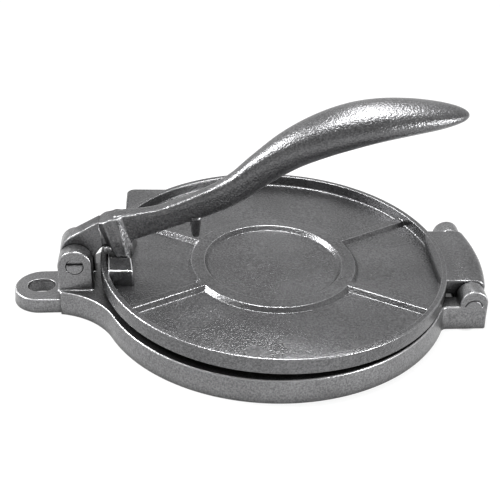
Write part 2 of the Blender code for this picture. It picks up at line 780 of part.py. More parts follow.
def main():
    """Build every piece of the press."""
    clear_scene()
    parts = make_collection("tortilla_press")
    cutters = make_collection("operands")
    iron = make_material("cast_iron", (0.20, 0.20, 0.205), 0.85, 0.42)
    steel = make_material("pin_steel", (0.36, 0.36, 0.365), 0.9, 0.35)
    pieces = [
        (build_base(parts, cutters), iron),
        (build_top_plate(parts, cutters), iron),
        (build_lever(parts, cutters), iron),
        (build_pin("hinge_pin", HINGE_AXIS_X, HINGE_AXIS_Z, HINGE_EAR_OUTER, parts), steel),
        (build_pin("lever_pin", LEVER_AXIS_X, LEVER_AXIS_Z, LEVER_EAR_OUTER, parts), steel),
    ]
    for piece, material in pieces:
        own = material.copy()
        own.name = piece.name + "_" + material.name
        piece.data.materials.append(own)


main()
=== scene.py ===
# %% [markdown]
# # A hand lever tortilla press in cast metal
# The press is three castings and two pins.  The base stands on the table, the
# dished top plate hinges on it at the right, and the lever turns on a pin at
# the left and presses its foot into a seat on the plate.  A solid model of the
# press is loaded first.  Each casting then gets a finer skin, made of surfaces
# that are worked out with numpy, and a finish made of shader nodes.

import json
import math

import bpy
import numpy as np
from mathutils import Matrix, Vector


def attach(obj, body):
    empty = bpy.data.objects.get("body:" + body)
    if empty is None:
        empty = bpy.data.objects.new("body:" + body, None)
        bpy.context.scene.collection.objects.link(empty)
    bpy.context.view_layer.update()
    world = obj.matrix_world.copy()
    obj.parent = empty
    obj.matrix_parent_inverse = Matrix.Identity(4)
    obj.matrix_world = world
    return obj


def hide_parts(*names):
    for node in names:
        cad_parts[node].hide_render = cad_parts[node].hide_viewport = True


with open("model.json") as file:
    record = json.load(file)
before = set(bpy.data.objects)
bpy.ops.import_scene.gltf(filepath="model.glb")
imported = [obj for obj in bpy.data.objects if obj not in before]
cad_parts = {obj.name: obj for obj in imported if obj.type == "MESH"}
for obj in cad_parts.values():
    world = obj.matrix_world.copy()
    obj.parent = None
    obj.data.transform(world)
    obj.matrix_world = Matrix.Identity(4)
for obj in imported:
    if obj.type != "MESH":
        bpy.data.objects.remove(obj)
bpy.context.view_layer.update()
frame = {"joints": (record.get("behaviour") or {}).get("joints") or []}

# %% [markdown]
# ## Axes that everything is laid out from
# Both hinge axes come from the model's joints, so a skin can't drift from the
# solid that it dresses.  The top plate is drawn level, as it is cast, and then
# turned about its hinge by the small angle at which it stands open at rest.

# %% Joint axes and resting tilt
joints = {joint["name"]: joint for joint in frame["joints"]}
LEVER_AXIS = np.array(joints["lever_pivot"]["pos_m"])
HINGE_AXIS = np.array(joints["lid_hinge"]["pos_m"])
REST_TILT = math.radians(1.6)
BASE_TOP = 0.015
PLATE_RADIUS = 0.105
BASE_RADIUS = 0.1055
LID_BOTTOM = 0.0153
LID_TOP = 0.0253
DISH_FLOOR = 0.0181
print("lever axis:", LEVER_AXIS, "plate hinge axis:", HINGE_AXIS)


def tilted(points):
    """Turn points about the plate's hinge axis: x' = c x + s z and z' = c z - s x, from the axis."""
    cosine, sine = math.cos(REST_TILT), math.sin(REST_TILT)
    away = points - HINGE_AXIS
    turned_x = cosine * away[..., 0] + sine * away[..., 2]
    turned_z = cosine * away[..., 2] - sine * away[..., 0]
    return np.stack([turned_x, away[..., 1], turned_z], axis=-1) + HINGE_AXIS


# %% [markdown]
# ## From a grid of points to a piece
# A skin is a grid: rows run up or along the piece, and columns run round it.
# Neighbouring points make the faces.  The columns always close on themselves.
# The rows may close too, as round a bored ear, or the first and last row get a
# flat cap.  One function does all of it, with whole arrays and no Python loop
# over the points.

# %% Mesh a grid of points
BEND_LENGTH = 0.0005
SHORTEST_SPAN = 0.00002


def skin(name, grid, body, ring=False):
    """Make a piece of a grid of rows and columns of points, closed round its columns."""
    rows, columns = grid.shape[:2]
    index = np.arange(rows * columns).reshape(rows, columns)
    lower = index if ring else index[:-1]
    upper = np.roll(index, -1, axis=0) if ring else index[1:]
    corners = [lower, np.roll(lower, -1, axis=1), np.roll(upper, -1, axis=1), upper]
    quads = np.stack(corners, axis=-1).reshape(-1, 4)
    caps = [] if ring else [index[0, ::-1].tolist(), index[-1].tolist()]
    mesh = bpy.data.meshes.new(name)
    mesh.from_pydata(grid.reshape(-1, 3), [], quads.tolist() + caps)
    outward = 1
    if signed_volume(grid, quads, caps) < 0:
        mesh.flip_normals()
        outward = -1
    bend = edge_bend(grid, ring) * outward
    mesh.attributes.new("edge", "FLOAT", "POINT").data.foreach_set("value", bend.ravel())
    mesh.polygons.foreach_set("use_smooth", np.ones(len(mesh.polygons), dtype=bool))
    mesh.validate()
    piece = bpy.data.objects.new(name, mesh)
    bpy.context.scene.collection.objects.link(piece)
    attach(piece, body)
    print(name, len(mesh.polygons), "faces")
    return piece


def edge_bend(grid, ring):
    """Convex bend at each point: the change of direction along row and column, per bend length."""
    if ring:
        ahead_row, back_row = np.roll(grid, -1, axis=0) - grid, grid - np.roll(grid, 1, axis=0)
    else:
        padded = np.concatenate([grid[:1], grid, grid[-1:]])
        ahead_row, back_row = padded[2:] - grid, grid - padded[:-2]
        ahead_row[-1], back_row[0] = back_row[-1], ahead_row[0]
    ahead_column, back_column = np.roll(grid, -1, axis=1) - grid, grid - np.roll(grid, 1, axis=1)
    normal = np.cross(ahead_column + back_column, ahead_row + back_row)
    normal /= np.maximum(np.linalg.norm(normal, axis=-1, keepdims=True), 1e-15)
    total = np.zeros(grid.shape[:2])
    for ahead, back in ((ahead_row, back_row), (ahead_column, back_column)):
        long_ahead = np.maximum(np.linalg.norm(ahead, axis=-1, keepdims=True), 1e-9)
        long_back = np.maximum(np.linalg.norm(back, axis=-1, keepdims=True), 1e-9)
        turn = ahead / long_ahead - back / long_back
        span = np.maximum((long_ahead + long_back)[..., 0] / 2, SHORTEST_SPAN)
        total -= (turn * normal).sum(axis=-1) / span * BEND_LENGTH
    return total


def signed_volume(grid, quads, caps):
    """Sum a . (b x c) / 6 over the triangles: the volume, negative where faces point inwards."""
    points = grid.reshape(-1, 3)
    corners = points[quads]
    triangles = [corners[:, [0, 1, 2]], corners[:, [0, 2, 3]]]
    for cap in caps:
        fan = points[cap]
        middle = np.repeat(fan.mean(axis=0)[None], len(fan), axis=0)
        triangles.append(np.stack([middle, fan, np.roll(fan, -1, axis=0)], axis=1))
    a, b, c = np.moveaxis(np.concatenate(triangles), 1, 0)
    return float(np.einsum("ij,ij->i", a, np.cross(b, c)).sum() / 6)


# %% [markdown]
# ## Edges as a foundry leaves them
# No edge of a casting is sharp.  The light caught by a small round edge is what
# draws the bright lines on the real press, so each edge here is a true quarter
# circle, with one more row just inside it that keeps the flat face flat.

# %% Round edge profiles and outlines
SUPPORT = 0.00012


def arc(centre, radius, start, end, steps):
    """Points at centre + radius (cos a, sin a), for angles a in degrees from start to end."""
    angles = np.radians(np.linspace(start, end, steps + 1))
    return np.stack([centre[0] + radius * np.cos(angles), centre[1] + radius * np.sin(angles)], axis=1)


def inset(outline, distance):
    """Move an anticlockwise outline inwards: each point goes along the mean of its sides' normals."""
    before = outline - np.roll(outline, 1, axis=0)
    after = np.roll(outline, -1, axis=0) - outline
    before /= np.linalg.norm(before, axis=1, keepdims=True)
    after /= np.linalg.norm(after, axis=1, keepdims=True)
    normal = np.stack([-before[:, 1] - after[:, 1], before[:, 0] + after[:, 0]], axis=1)
    normal /= np.linalg.norm(normal, axis=1, keepdims=True)
    spread = np.maximum(np.abs(normal[:, 1] * before[:, 0] - normal[:, 0] * before[:, 1]), 0.3)
    return outline + normal * (distance / spread)[:, None]


def edge_profile(low, high, bottom, top, draft=0.0, steps=5):
    """Insets and levels up a wall: a quarter circle of radius bottom, the wall, and one of radius top."""
    turn = np.radians(np.linspace(0, 90, steps + 1))
    foot = np.stack([bottom * (1 - np.sin(turn)) - draft, low + bottom * (1 - np.cos(turn))], axis=1)
    head = np.stack([top * (1 - np.cos(turn)), high - top * (1 - np.sin(turn))], axis=1)
    first = [[bottom - draft + SUPPORT, low]]
    last = [[top + SUPPORT, high]]
    return np.concatenate([first, foot, head, last])


def rounded(corners, radii, steps=6):
    """Cut each corner of a polygon with an arc tangent to both its sides."""
    points = []
    count = len(corners)
    for index, radius in enumerate(radii):
        here = np.array(corners[index], dtype=float)
        back = np.array(corners[index - 1]) - here
        ahead = np.array(corners[(index + 1) % count]) - here
        back /= np.linalg.norm(back)
        ahead /= np.linalg.norm(ahead)
        half = math.acos(np.clip(back @ ahead, -1, 1)) / 2
        centre = here + (back + ahead) / np.linalg.norm(back + ahead) * radius / math.sin(half)
        first = here + back * radius / math.tan(half) - centre
        last = here + ahead * radius / math.tan(half) - centre
        share = np.linspace(0, 1, steps + 1)[:, None]
        swing = math.pi - 2 * half
        spokes = (np.sin((1 - share) * swing) * first + np.sin(share * swing) * last) / math.sin(swing)
        points.append(centre + spokes)
    return np.concatenate(points)


def prism_grid(outline, profile, across=False):
    """Stack copies of an outline, each inset and raised as the profile says."""
    rings = [inset(outline, inward) for inward, level in profile]
    levels = [np.full(len(outline), level) for inward, level in profile]
    if across:
        return np.stack([np.stack([ring[:, 0], level, ring[:, 1]], axis=1)
                         for ring, level in zip(rings, levels)])
    return np.stack([np.stack([ring[:, 0], ring[:, 1], level], axis=1)
                     for ring, level in zip(rings, levels)])


# %% [markdown]
# ## The top plate's dish
# The plate is one surface over a polar grid.  Its height is a floor, a raised
# ring with four spokes, and a rim.  Straight spokes cross a polar grid askew,
# so the columns near a spoke keep a fixed distance from its centre line instead
# of a fixed angle.  The slopes are then sampled along their whole length.

# %% Heights of the ring and spokes
RING_INNER = 0.042
RING_OUTER = 0.050
SPOKE_HALF = 0.0025
SLOPE_RUN = 0.0024
WEB_HEIGHT = 0.0026
EDGE_SHARE = 0.10
SLOPE_SHARES = np.array([-0.5, -0.25, -0.14, -0.07, 0, 0.07, 0.14, 0.25, 0.5,
                         0.75, 0.86, 0.93, 1, 1.07, 1.14, 1.25, 1.5])


def soft_step(share):
    """Rise from 0 to 1 with round ends: (sqrt(t t + e e) - sqrt((t - 1)(t - 1) + e e) + 1) / 2."""
    return (np.hypot(share, EDGE_SHARE) - np.hypot(share - 1, EDGE_SHARE) + 1) / 2


def web_height(radius, offset):
    """Height of the ring, where the radius is in it, or of a spoke at that distance from its line."""
    inside = soft_step((radius - RING_INNER + SLOPE_RUN) / SLOPE_RUN)
    outside = soft_step((RING_OUTER + SLOPE_RUN - radius) / SLOPE_RUN)
    spoke = soft_step((SPOKE_HALF + SLOPE_RUN - np.abs(offset)) / SLOPE_RUN)
    spoke = np.where(radius > (RING_INNER + RING_OUTER) / 2, spoke, 0)
    return WEB_HEIGHT * np.maximum(np.minimum(inside, outside), spoke)


# %% Columns that follow the spokes
SPOKE_TURNS = np.radians([30, 150, 210, 330])
COLUMN_DEGREES = 2.5
offsets = SPOKE_HALF + SLOPE_RUN * (1 - SLOPE_SHARES)
spoke_offsets = np.concatenate([-offsets, offsets[::-1]])
widest = np.abs(spoke_offsets).max()


def plate_columns(radius):
    """Angles and offsets of all columns at one radius, spoke by spoke and gap by gap."""
    reach = max(radius, RING_INNER - SLOPE_RUN)
    swing = np.arcsin(spoke_offsets / reach)
    angles, distances = [], []
    followers = np.append(SPOKE_TURNS[1:], SPOKE_TURNS[0] + math.tau)
    for turn, follower in zip(SPOKE_TURNS, followers):
        count = round(math.degrees(follower - turn) / COLUMN_DEGREES) + 1
        gap = np.linspace(turn + swing[-1], follower - swing[-1], count)
        angles += [turn + swing, gap[1:-1]]
        distances += [spoke_offsets, np.full(len(gap) - 2, widest)]
    return np.concatenate(angles), np.concatenate(distances)


# %% Rows from the centre over the rim and back under the plate
RIM_WIDTH = 0.0036
RIM_INNER = PLATE_RADIUS - RIM_WIDTH
DISH_FILLET = 0.0013
RIM_EDGE = 0.0005
OUTER_EDGE = 0.0009
CENTRE_ROWS = [0.002, 0.012, 0.024, 0.034]
FLOOR_START = 0.056
FLOOR_MARGIN = 0.001

slope = SLOPE_RUN * SLOPE_SHARES
inner_rows = np.concatenate([CENTRE_ROWS, RING_INNER - SLOPE_RUN + slope])
outer_rows = np.concatenate([(RING_OUTER + SLOPE_RUN - slope)[::-1],
                             np.linspace(FLOOR_START, RIM_INNER - DISH_FILLET - FLOOR_MARGIN, 10)])
floor_rows = np.concatenate([inner_rows, outer_rows])
fillet = arc((RIM_INNER - DISH_FILLET, DISH_FILLET), DISH_FILLET, -90, 0, 8)
wall_heights = np.linspace(0, 1, 4)[1:]
lip = arc((RIM_INNER + RIM_EDGE, LID_TOP - RIM_EDGE), RIM_EDGE, 180, 90, 5)
outer_lip = arc((PLATE_RADIUS - OUTER_EDGE, LID_TOP - OUTER_EDGE), OUTER_EDGE, 90, 0, 6)
under_lip = arc((PLATE_RADIUS - OUTER_EDGE, LID_BOTTOM + OUTER_EDGE), OUTER_EDGE, 0, -90, 6)
flat_top = [[RIM_INNER + RIM_EDGE + SUPPORT, LID_TOP], [PLATE_RADIUS - OUTER_EDGE - SUPPORT, LID_TOP]]
underside = [[PLATE_RADIUS - OUTER_EDGE - SUPPORT, LID_BOTTOM]]
rim_profile = np.concatenate([lip, flat_top, outer_lip, under_lip, underside])


def plate_grid():
    """Stack the plate's rows: dish floor with the web, fillet, inner wall, rim, side and underside."""
    rows = []
    for radius in floor_rows:
        angle, offset = plate_columns(radius)
        height = DISH_FLOOR + web_height(np.full(len(angle), radius), offset)
        rows.append(np.stack([radius * np.cos(angle), radius * np.sin(angle), height], axis=1))
    for radius, rise in fillet:
        angle, offset = plate_columns(radius)
        height = DISH_FLOOR + np.maximum(web_height(np.full(len(angle), radius), offset), rise)
        rows.append(np.stack([radius * np.cos(angle), radius * np.sin(angle), height], axis=1))
    start = rows[-1]
    for share in wall_heights[:-1]:
        level = start[:, 2] + (LID_TOP - RIM_EDGE - start[:, 2]) * share
        rows.append(np.stack([start[:, 0], start[:, 1], level], axis=1))
    for radius, level in rim_profile:
        angle, offset = plate_columns(radius)
        rows.append(np.stack([radius * np.cos(angle), radius * np.sin(angle),
                              np.full(len(angle), level)], axis=1))
    return np.stack(rows)


plate = skin("plate_dish", tilted(plate_grid()), "top_plate")
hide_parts("top_plate")

# %% [markdown]
# ## The seat for the lever's foot
# Two cheeks stand on the dish floor by the rim, a little splayed, with a level
# channel between them for the foot.  They are prisms with drafted sides.  The
# low block between them carries the channel's floor.

# %% Cheeks and channel
SEAT_OUTER = -0.1005
SEAT_INNER = -0.0860
SEAT_SPLAY = 0.0014
SEAT_HALF_WIDTH = 0.0242
CHANNEL_HALF_WIDTH = 0.0095
SEAT_TOP = LID_TOP + 0.003
CHANNEL_FLOOR = LID_TOP - 0.0005
SEAT_ROOT = 0.001
SEAT_FOOT_EDGE = 0.0003
CHEEK_EDGE = 0.0008
CHEEK_CORNER = 0.0009
CHEEK_DRAFT = 0.0009
CHANNEL_EDGE = 0.0004
CHANNEL_CORNER = 0.0006
CHANNEL_DRAFT = 0.0006
CHANNEL_OVERLAP = 0.001
CHANNEL_INSET = 0.0001


def seat_x(outer, y):
    """Place of the seat's outer or inner side along X: it leans in from the middle to the ends."""
    lean = SEAT_SPLAY * abs(y) / SEAT_HALF_WIDTH
    return SEAT_OUTER + lean if outer else SEAT_INNER + 2 * lean - SEAT_SPLAY


def cheek(side):
    """A cheek on one side of the channel, its plan a rounded quadrilateral."""
    near, far = side * SEAT_HALF_WIDTH, side * CHANNEL_HALF_WIDTH
    corners = [(seat_x(True, near), near), (seat_x(False, near), near),
               (seat_x(False, far), far), (seat_x(True, far), far)]
    if side > 0:
        corners = corners[::-1]
    profile = edge_profile(DISH_FLOOR - SEAT_ROOT, SEAT_TOP, SEAT_FOOT_EDGE, CHEEK_EDGE, draft=CHEEK_DRAFT)
    return prism_grid(rounded(corners, [CHEEK_CORNER] * 4), profile)


pieces_of_plate = [plate]
for side, word in ((-1, "near"), (1, "far")):
    pieces_of_plate.append(skin("seat_cheek_" + word, tilted(cheek(side)), "top_plate"))
middle = CHANNEL_HALF_WIDTH + CHANNEL_OVERLAP
outer_x = seat_x(True, 0) + CHANNEL_INSET
inner_x = seat_x(False, 0) - CHANNEL_INSET
channel_corners = [(outer_x, -middle), (inner_x, -middle), (inner_x, middle), (outer_x, middle)]
channel_profile = edge_profile(DISH_FLOOR - SEAT_ROOT, CHANNEL_FLOOR, SEAT_FOOT_EDGE, CHANNEL_EDGE,
                               draft=CHANNEL_DRAFT)
channel = prism_grid(rounded(channel_corners, [CHANNEL_CORNER] * 4), channel_profile)
pieces_of_plate.append(skin("seat_channel", tilted(channel), "top_plate"))

# %% [markdown]
# ## The lift tab and the hinge lug
# The tab is a plain flat ear flush with the rim, to lift the plate by.  The lug
# at the other end is seen from the side as a barrel round the pin with a flat
# top, and is drawn across the plate.

# %% Lift tab
TAB_X = -0.092
TAB_Y = 0.0813
TAB_CORNER = 0.0055
TAB_THICKNESS = 0.007
TAB_EDGE = 0.0009
FLUSH_SINK = 0.00004
RIM_MIDDLE = PLATE_RADIUS - RIM_WIDTH / 2
rim_start = math.degrees(math.acos(TAB_X / RIM_MIDDLE))
rim_end = math.degrees(math.asin(TAB_Y / RIM_MIDDLE))
tab_outline = np.concatenate([
    arc((TAB_X + TAB_CORNER, TAB_Y - TAB_CORNER), TAB_CORNER, 90, 180, 8),
    arc((0, 0), RIM_MIDDLE, rim_start, 180 - rim_end, 16),
])
tab_profile = edge_profile(LID_TOP - TAB_THICKNESS, LID_TOP - FLUSH_SINK, TAB_EDGE, TAB_EDGE)
pieces_of_plate.append(skin("lift_tab", tilted(prism_grid(tab_outline, tab_profile)), "top_plate"))

# %% Hinge lug
LUG_BARREL = 0.0095
LUG_HALF = 0.0288
LUG_CORNER = 0.0050
LUG_OUTER_RADIUS = 0.1274
LUG_ROOT_X = 0.0985
LUG_ROOT_BOTTOM = 0.0158
LUG_EDGE = 0.0009
LUG_STEPS = 25
axis_x, axis_z = HINGE_AXIS[0], HINGE_AXIS[2]


def lug_section(y):
    """The lug from the side at one place across: its outer side lies on a circle round the plate's centre."""
    reach = math.sqrt(LUG_OUTER_RADIUS ** 2 - y ** 2) - axis_x
    barrel = arc((0, 0), 1, 169, 360, 28) * [1, LUG_BARREL]
    barrel[:, 0] *= np.where(barrel[:, 0] > 0, reach, LUG_BARREL)
    shoulder = arc((reach - LUG_CORNER, LID_TOP - axis_z - LUG_CORNER), LUG_CORNER, 0, 90, 12)
    root = np.array([(LUG_ROOT_X, LID_TOP - FLUSH_SINK), (LUG_ROOT_X, LUG_ROOT_BOTTOM)])
    return np.concatenate([root, barrel + [axis_x, axis_z], shoulder + [axis_x, axis_z]])


lug_ends = edge_profile(-LUG_HALF, LUG_HALF, LUG_EDGE, LUG_EDGE)
lug_span = np.linspace(-LUG_HALF, LUG_HALF, LUG_STEPS)[1:-1]
lug_middle = np.stack([np.zeros(len(lug_span)), lug_span], axis=1)
lug_half = len(lug_ends) // 2
lug_sections = []
for inward, y in np.concatenate([lug_ends[:lug_half], lug_middle, lug_ends[lug_half:]]):
    section = inset(lug_section(y), inward)
    lug_sections.append(np.stack([section[:, 0], np.full(len(section), y), section[:, 1]], axis=1))
pieces_of_plate.append(skin("hinge_lug", tilted(np.stack(lug_sections)), "top_plate"))

# %% [markdown]
# ## The base
# Seen from above, the base is a disc that narrows in two long curves to a neck,
# with a block for each hinge ear.  Its sides lean in towards the top, as a
# casting's must to leave the sand.

# %% Base outline
NECK_HALF = 0.0168
NECK_FILLET = 0.045
NECK_END = 0.129
EAR_OUTER = 0.041
EAR_INNER = 0.0295
HINGE_EAR_HALF_WIDTH = 0.0082
BLOCK_END = axis_x + HINGE_EAR_HALF_WIDTH
BLOCK_FILLET = 0.004
BLOCK_CORNER = 0.0015
BASE_DRAFT = 0.0012
BASE_EDGE = 0.0009
FOOT_EDGE = 0.0003


def base_outline(draft):
    """Half of the outline from arcs tangent to each other, closed with its mirror image."""
    rim, neck, outer = BASE_RADIUS + draft, NECK_HALF + draft, EAR_OUTER + draft
    neck_x = math.sqrt((rim + NECK_FILLET) ** 2 - (neck + NECK_FILLET) ** 2)
    neck_turn = math.degrees(math.atan2(neck + NECK_FILLET, neck_x))
    neck_start = math.degrees(math.acos((neck_x - NECK_END) / NECK_FILLET))
    block_x = math.sqrt((rim + BLOCK_FILLET) ** 2 - (outer + BLOCK_FILLET) ** 2)
    block_turn = math.degrees(math.atan2(outer + BLOCK_FILLET, block_x))
    pocket_turn = math.degrees(math.asin(EAR_INNER / BASE_RADIUS))
    half = np.concatenate([
        arc((-neck_x, -neck - NECK_FILLET), NECK_FILLET, neck_start, neck_turn, 28),
        arc((0, 0), rim, 180 + neck_turn, 360 - block_turn, 90)[1:],
        arc((block_x, -outer - BLOCK_FILLET), BLOCK_FILLET, 180 - block_turn, 90, 8)[1:],
        arc((BLOCK_END - BLOCK_CORNER, BLOCK_CORNER - outer), BLOCK_CORNER, -90, 0, 5),
        arc((BLOCK_END - BLOCK_CORNER, -EAR_INNER - BLOCK_CORNER), BLOCK_CORNER, 0, 90, 5),
        arc((0, 0), BASE_RADIUS, -pocket_turn, 0, 16),
    ])
    mirror = half[::-1][1:] * [1, -1]
    return np.concatenate([half, mirror])


def drafted_grid(outline, height, radius, steps=6):
    """Rows up a wall that leans in by the draft, to a round top edge and a flat cap."""
    draft = BASE_DRAFT * height / BASE_TOP
    top = outline(0)
    turn = np.radians(np.linspace(0, 90, steps + 1))
    levels = [(0, outline(draft - FOOT_EDGE)), (FOOT_EDGE, outline(draft)),
              (height / 2, outline(draft / 2))]
    levels += [(height - radius * (1 - math.sin(t)), inset(top, radius * (1 - math.cos(t)))) for t in turn]
    levels.append((height, inset(top, radius + SUPPORT)))
    return np.stack([np.column_stack([ring, np.full(len(ring), level)]) for level, ring in levels])


base = skin("base_body", drafted_grid(base_outline, BASE_TOP, BASE_EDGE), "base")
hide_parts("base")
pieces_of_base = [base]

# %% [markdown]
# ## Bored shapes
# An ear with its bore, and the hanging lug with its slot, are each one closed
# ring: the surface goes up the outside, in over the face, down the bore and
# back.  Both outlines are read at the same angles round the bore's centre.

# %% Rings with a hole through them
def ray_hits(outline, centre, angles):
    """Distance from a centre to an outline along each angle, where the ray crosses a side."""
    start = outline - centre
    side = np.roll(start, -1, axis=0) - start
    direction = np.stack([np.cos(angles), np.sin(angles)], axis=1)
    cross = direction[:, None, 0] * side[None, :, 1] - direction[:, None, 1] * side[None, :, 0]
    safe = np.where(np.abs(cross) < 1e-15, 1e-15, cross)
    reach = (start[None, :, 0] * side[None, :, 1] - start[None, :, 1] * side[None, :, 0]) / safe
    share = (start[None, :, 0] * direction[:, None, 1] - start[None, :, 1] * direction[:, None, 0]) / safe
    good = (share >= -1e-9) & (share <= 1 + 1e-9) & (reach > 0)
    return np.where(good, reach, np.inf).min(axis=1)


def bored_grid(outer, inner, centre, low, high, edge, mouth, angles, across=False):
    """Rows round the section of a bored plate: outside, face, bore and other face."""
    outer_profile = edge_profile(low, high, edge, edge)
    inner_profile = edge_profile(low, high, mouth, mouth)[::-1]
    rings = []
    for outline, profile, inwards in ((outer, outer_profile, 1), (inner, inner_profile, -1)):
        for distance, level in profile:
            ring = inset(outline, distance * inwards)
            reach = ray_hits(ring, centre, angles)
            flat = np.stack([centre[0] + reach * np.cos(angles), centre[1] + reach * np.sin(angles)], axis=1)
            order = (0, 2, 1) if across else (0, 1, 2)
            rings.append(np.column_stack([flat, np.full(len(flat), level)])[:, order])
    return np.stack(rings)


def turns_with(corners, count):
    """Even angles all round, with the one nearest to each corner moved onto it."""
    turns = np.linspace(-math.pi, math.pi, count + 1)[:-1]
    for corner in corners:
        turns[np.abs(turns - corner).argmin()] = corner
    return np.sort(turns)


def circle(centre, radius, steps=72):
    """An anticlockwise circle of points."""
    return arc(centre, radius, 0, 360, steps)[:-1]


# %% Lever ears and hinge ears
BORE_RADIUS = 0.0054
BORE_MOUTH = 0.0002
EAR_EDGE = 0.0008
LEVER_EAR_HALF_WIDTH = 0.0102
LEVER_EAR_RISE = 0.0104
LEVER_EAR_SIDES = (0.0054, 0.0150)
LEVER_EAR_ROOT = 0.003
HINGE_EAR_RISE = 0.0113
HINGE_EAR_SIDES = (EAR_INNER, 0.04102)
HINGE_EAR_FOOT = 0.0015


def ear_grid(axis, half_width, top, foot, low, high):
    """An ear across the press: a post with a round head, its bore at the axis."""
    centre = np.array([axis[0], axis[2]])
    head = arc((axis[0], top - half_width), half_width, 0, 180, 32)
    outline = np.concatenate([head, [(axis[0] - half_width, foot), (axis[0] + half_width, foot)]])
    feet = outline[-2:] - centre
    angles = turns_with(np.arctan2(feet[:, 1], feet[:, 0]), 96)
    bore = circle(centre, BORE_RADIUS)
    return bored_grid(outline, bore, centre, low, high, EAR_EDGE, BORE_MOUTH, angles, across=True)


for word, side in (("near", -1), ("far", 1)):
    low, high = sorted(side * place for place in LEVER_EAR_SIDES)
    ear = ear_grid(LEVER_AXIS, LEVER_EAR_HALF_WIDTH, LEVER_AXIS[2] + LEVER_EAR_RISE,
                   BASE_TOP - LEVER_EAR_ROOT, low, high)
    pieces_of_base.append(skin("lever_ear_" + word, ear, "base", ring=True))
    low, high = sorted(side * place for place in HINGE_EAR_SIDES)
    ear = ear_grid(HINGE_AXIS, HINGE_EAR_HALF_WIDTH, HINGE_AXIS[2] + HINGE_EAR_RISE,
                   HINGE_EAR_FOOT, low, high)
    pieces_of_base.append(skin("hinge_ear_" + word, ear, "base", ring=True))

# %% Fillets round the feet of the lever ears
SKIRT_HALF_X = 0.0101
SKIRT_HALF_Y = 0.0047
SKIRT_MIDDLE_Y = 0.0102
SKIRT_RADIUS = 0.0013
SKIRT_CORNER = 0.0012
SKIRT_ROOT = 0.0012
SKIRT_SINK = 0.00002
SKIRT_TUCK = 0.0004


def foot_fillet(centre_x, half_x, centre_y, half_y, radius, steps=6):
    """A skirt that sweeps out from a post to the base in a concave quarter circle."""
    corners = [(centre_x - half_x, centre_y - half_y), (centre_x + half_x, centre_y - half_y),
               (centre_x + half_x, centre_y + half_y), (centre_x - half_x, centre_y + half_y)]
    outline = rounded(corners, [SKIRT_CORNER] * 4, 5)
    turn = np.radians(np.linspace(0, 90, steps + 1))
    sweep = np.stack([radius * (1 - np.sin(turn)), radius * (1 - np.cos(turn))], axis=1)
    profile = [(-radius, BASE_TOP - SKIRT_ROOT)]
    profile += [(-outset, BASE_TOP - SKIRT_SINK + rise) for outset, rise in sweep]
    profile.append((SKIRT_TUCK, BASE_TOP + radius))
    return prism_grid(outline, profile)


for word, side in (("near", -1), ("far", 1)):
    skirt = foot_fillet(LEVER_AXIS[0], SKIRT_HALF_X, side * SKIRT_MIDDLE_Y, SKIRT_HALF_Y, SKIRT_RADIUS)
    pieces_of_base.append(skin("ear_fillet_" + word, skirt, "base"))

# %% Hanging lug with its slot
HANGER_REACH = 0.0391
HANGER_RADIUS = 0.0163
HANGER_THICKNESS = 0.009
HANGER_ROOT_X = -0.115
HANGER_DRAFT = 0.0007
HANGER_FOOT_DRAFT = 0.0004
HANGER_EDGE = 0.0009
SLOT_RADIUS = 0.00675
SLOT_SHIFT = 0.00175
SLOT_EDGE = 0.0003
HANGER_CENTRE = np.array([LEVER_AXIS[0] - HANGER_REACH + HANGER_RADIUS, 0.0])


def hanger_outline(draft):
    """A bar with a round end, moved out by the draft."""
    radius = HANGER_RADIUS + draft
    end = arc(HANGER_CENTRE, radius, 90, 270, 48)
    return np.concatenate([end, [(HANGER_ROOT_X, -radius), (HANGER_ROOT_X, radius)]])


slot = np.concatenate([arc(HANGER_CENTRE + [SLOT_SHIFT, 0], SLOT_RADIUS, -90, 90, 24),
                       arc(HANGER_CENTRE - [SLOT_SHIFT, 0], SLOT_RADIUS, 90, 270, 24)])
hanger_corner = math.atan2(HANGER_RADIUS, HANGER_ROOT_X - HANGER_CENTRE[0])
hanger_turns = turns_with([-hanger_corner, hanger_corner], 144)
plan = hanger_outline(0)
hanger_rows = [(0, hanger_outline(HANGER_FOOT_DRAFT)), (FOOT_EDGE, hanger_outline(HANGER_DRAFT))]
for turn in np.radians(np.linspace(0, 90, 6)):
    level = HANGER_THICKNESS - HANGER_EDGE * (1 - math.sin(turn))
    hanger_rows.append((level, inset(plan, HANGER_EDGE * (1 - math.cos(turn)))))
hanger_rows.append((HANGER_THICKNESS, inset(plan, HANGER_EDGE + SUPPORT)))
for inward, level in edge_profile(0, HANGER_THICKNESS, BORE_MOUTH, SLOT_EDGE)[::-1]:
    hanger_rows.append((level, inset(slot, -inward)))
hanger_rings = []
for level, ring in hanger_rows:
    reach = ray_hits(ring, HANGER_CENTRE, hanger_turns)
    hanger_rings.append(np.stack([HANGER_CENTRE[0] + reach * np.cos(hanger_turns),
                                  reach * np.sin(hanger_turns),
                                  np.full(len(hanger_turns), level)], axis=1))
pieces_of_base.append(skin("hanging_lug", np.stack(hanger_rings), "base", ring=True))

# %% [markdown]
# ## The lever
# The arm and grip are one loft.  Its sections run from a flat bar at the foot to
# a plump oval at the grip: each is a superellipse, whose power sets how square
# it is.  The sections are joined by smooth curves.

# %% Sections of the arm and grip
ARM_COLUMNS = 96
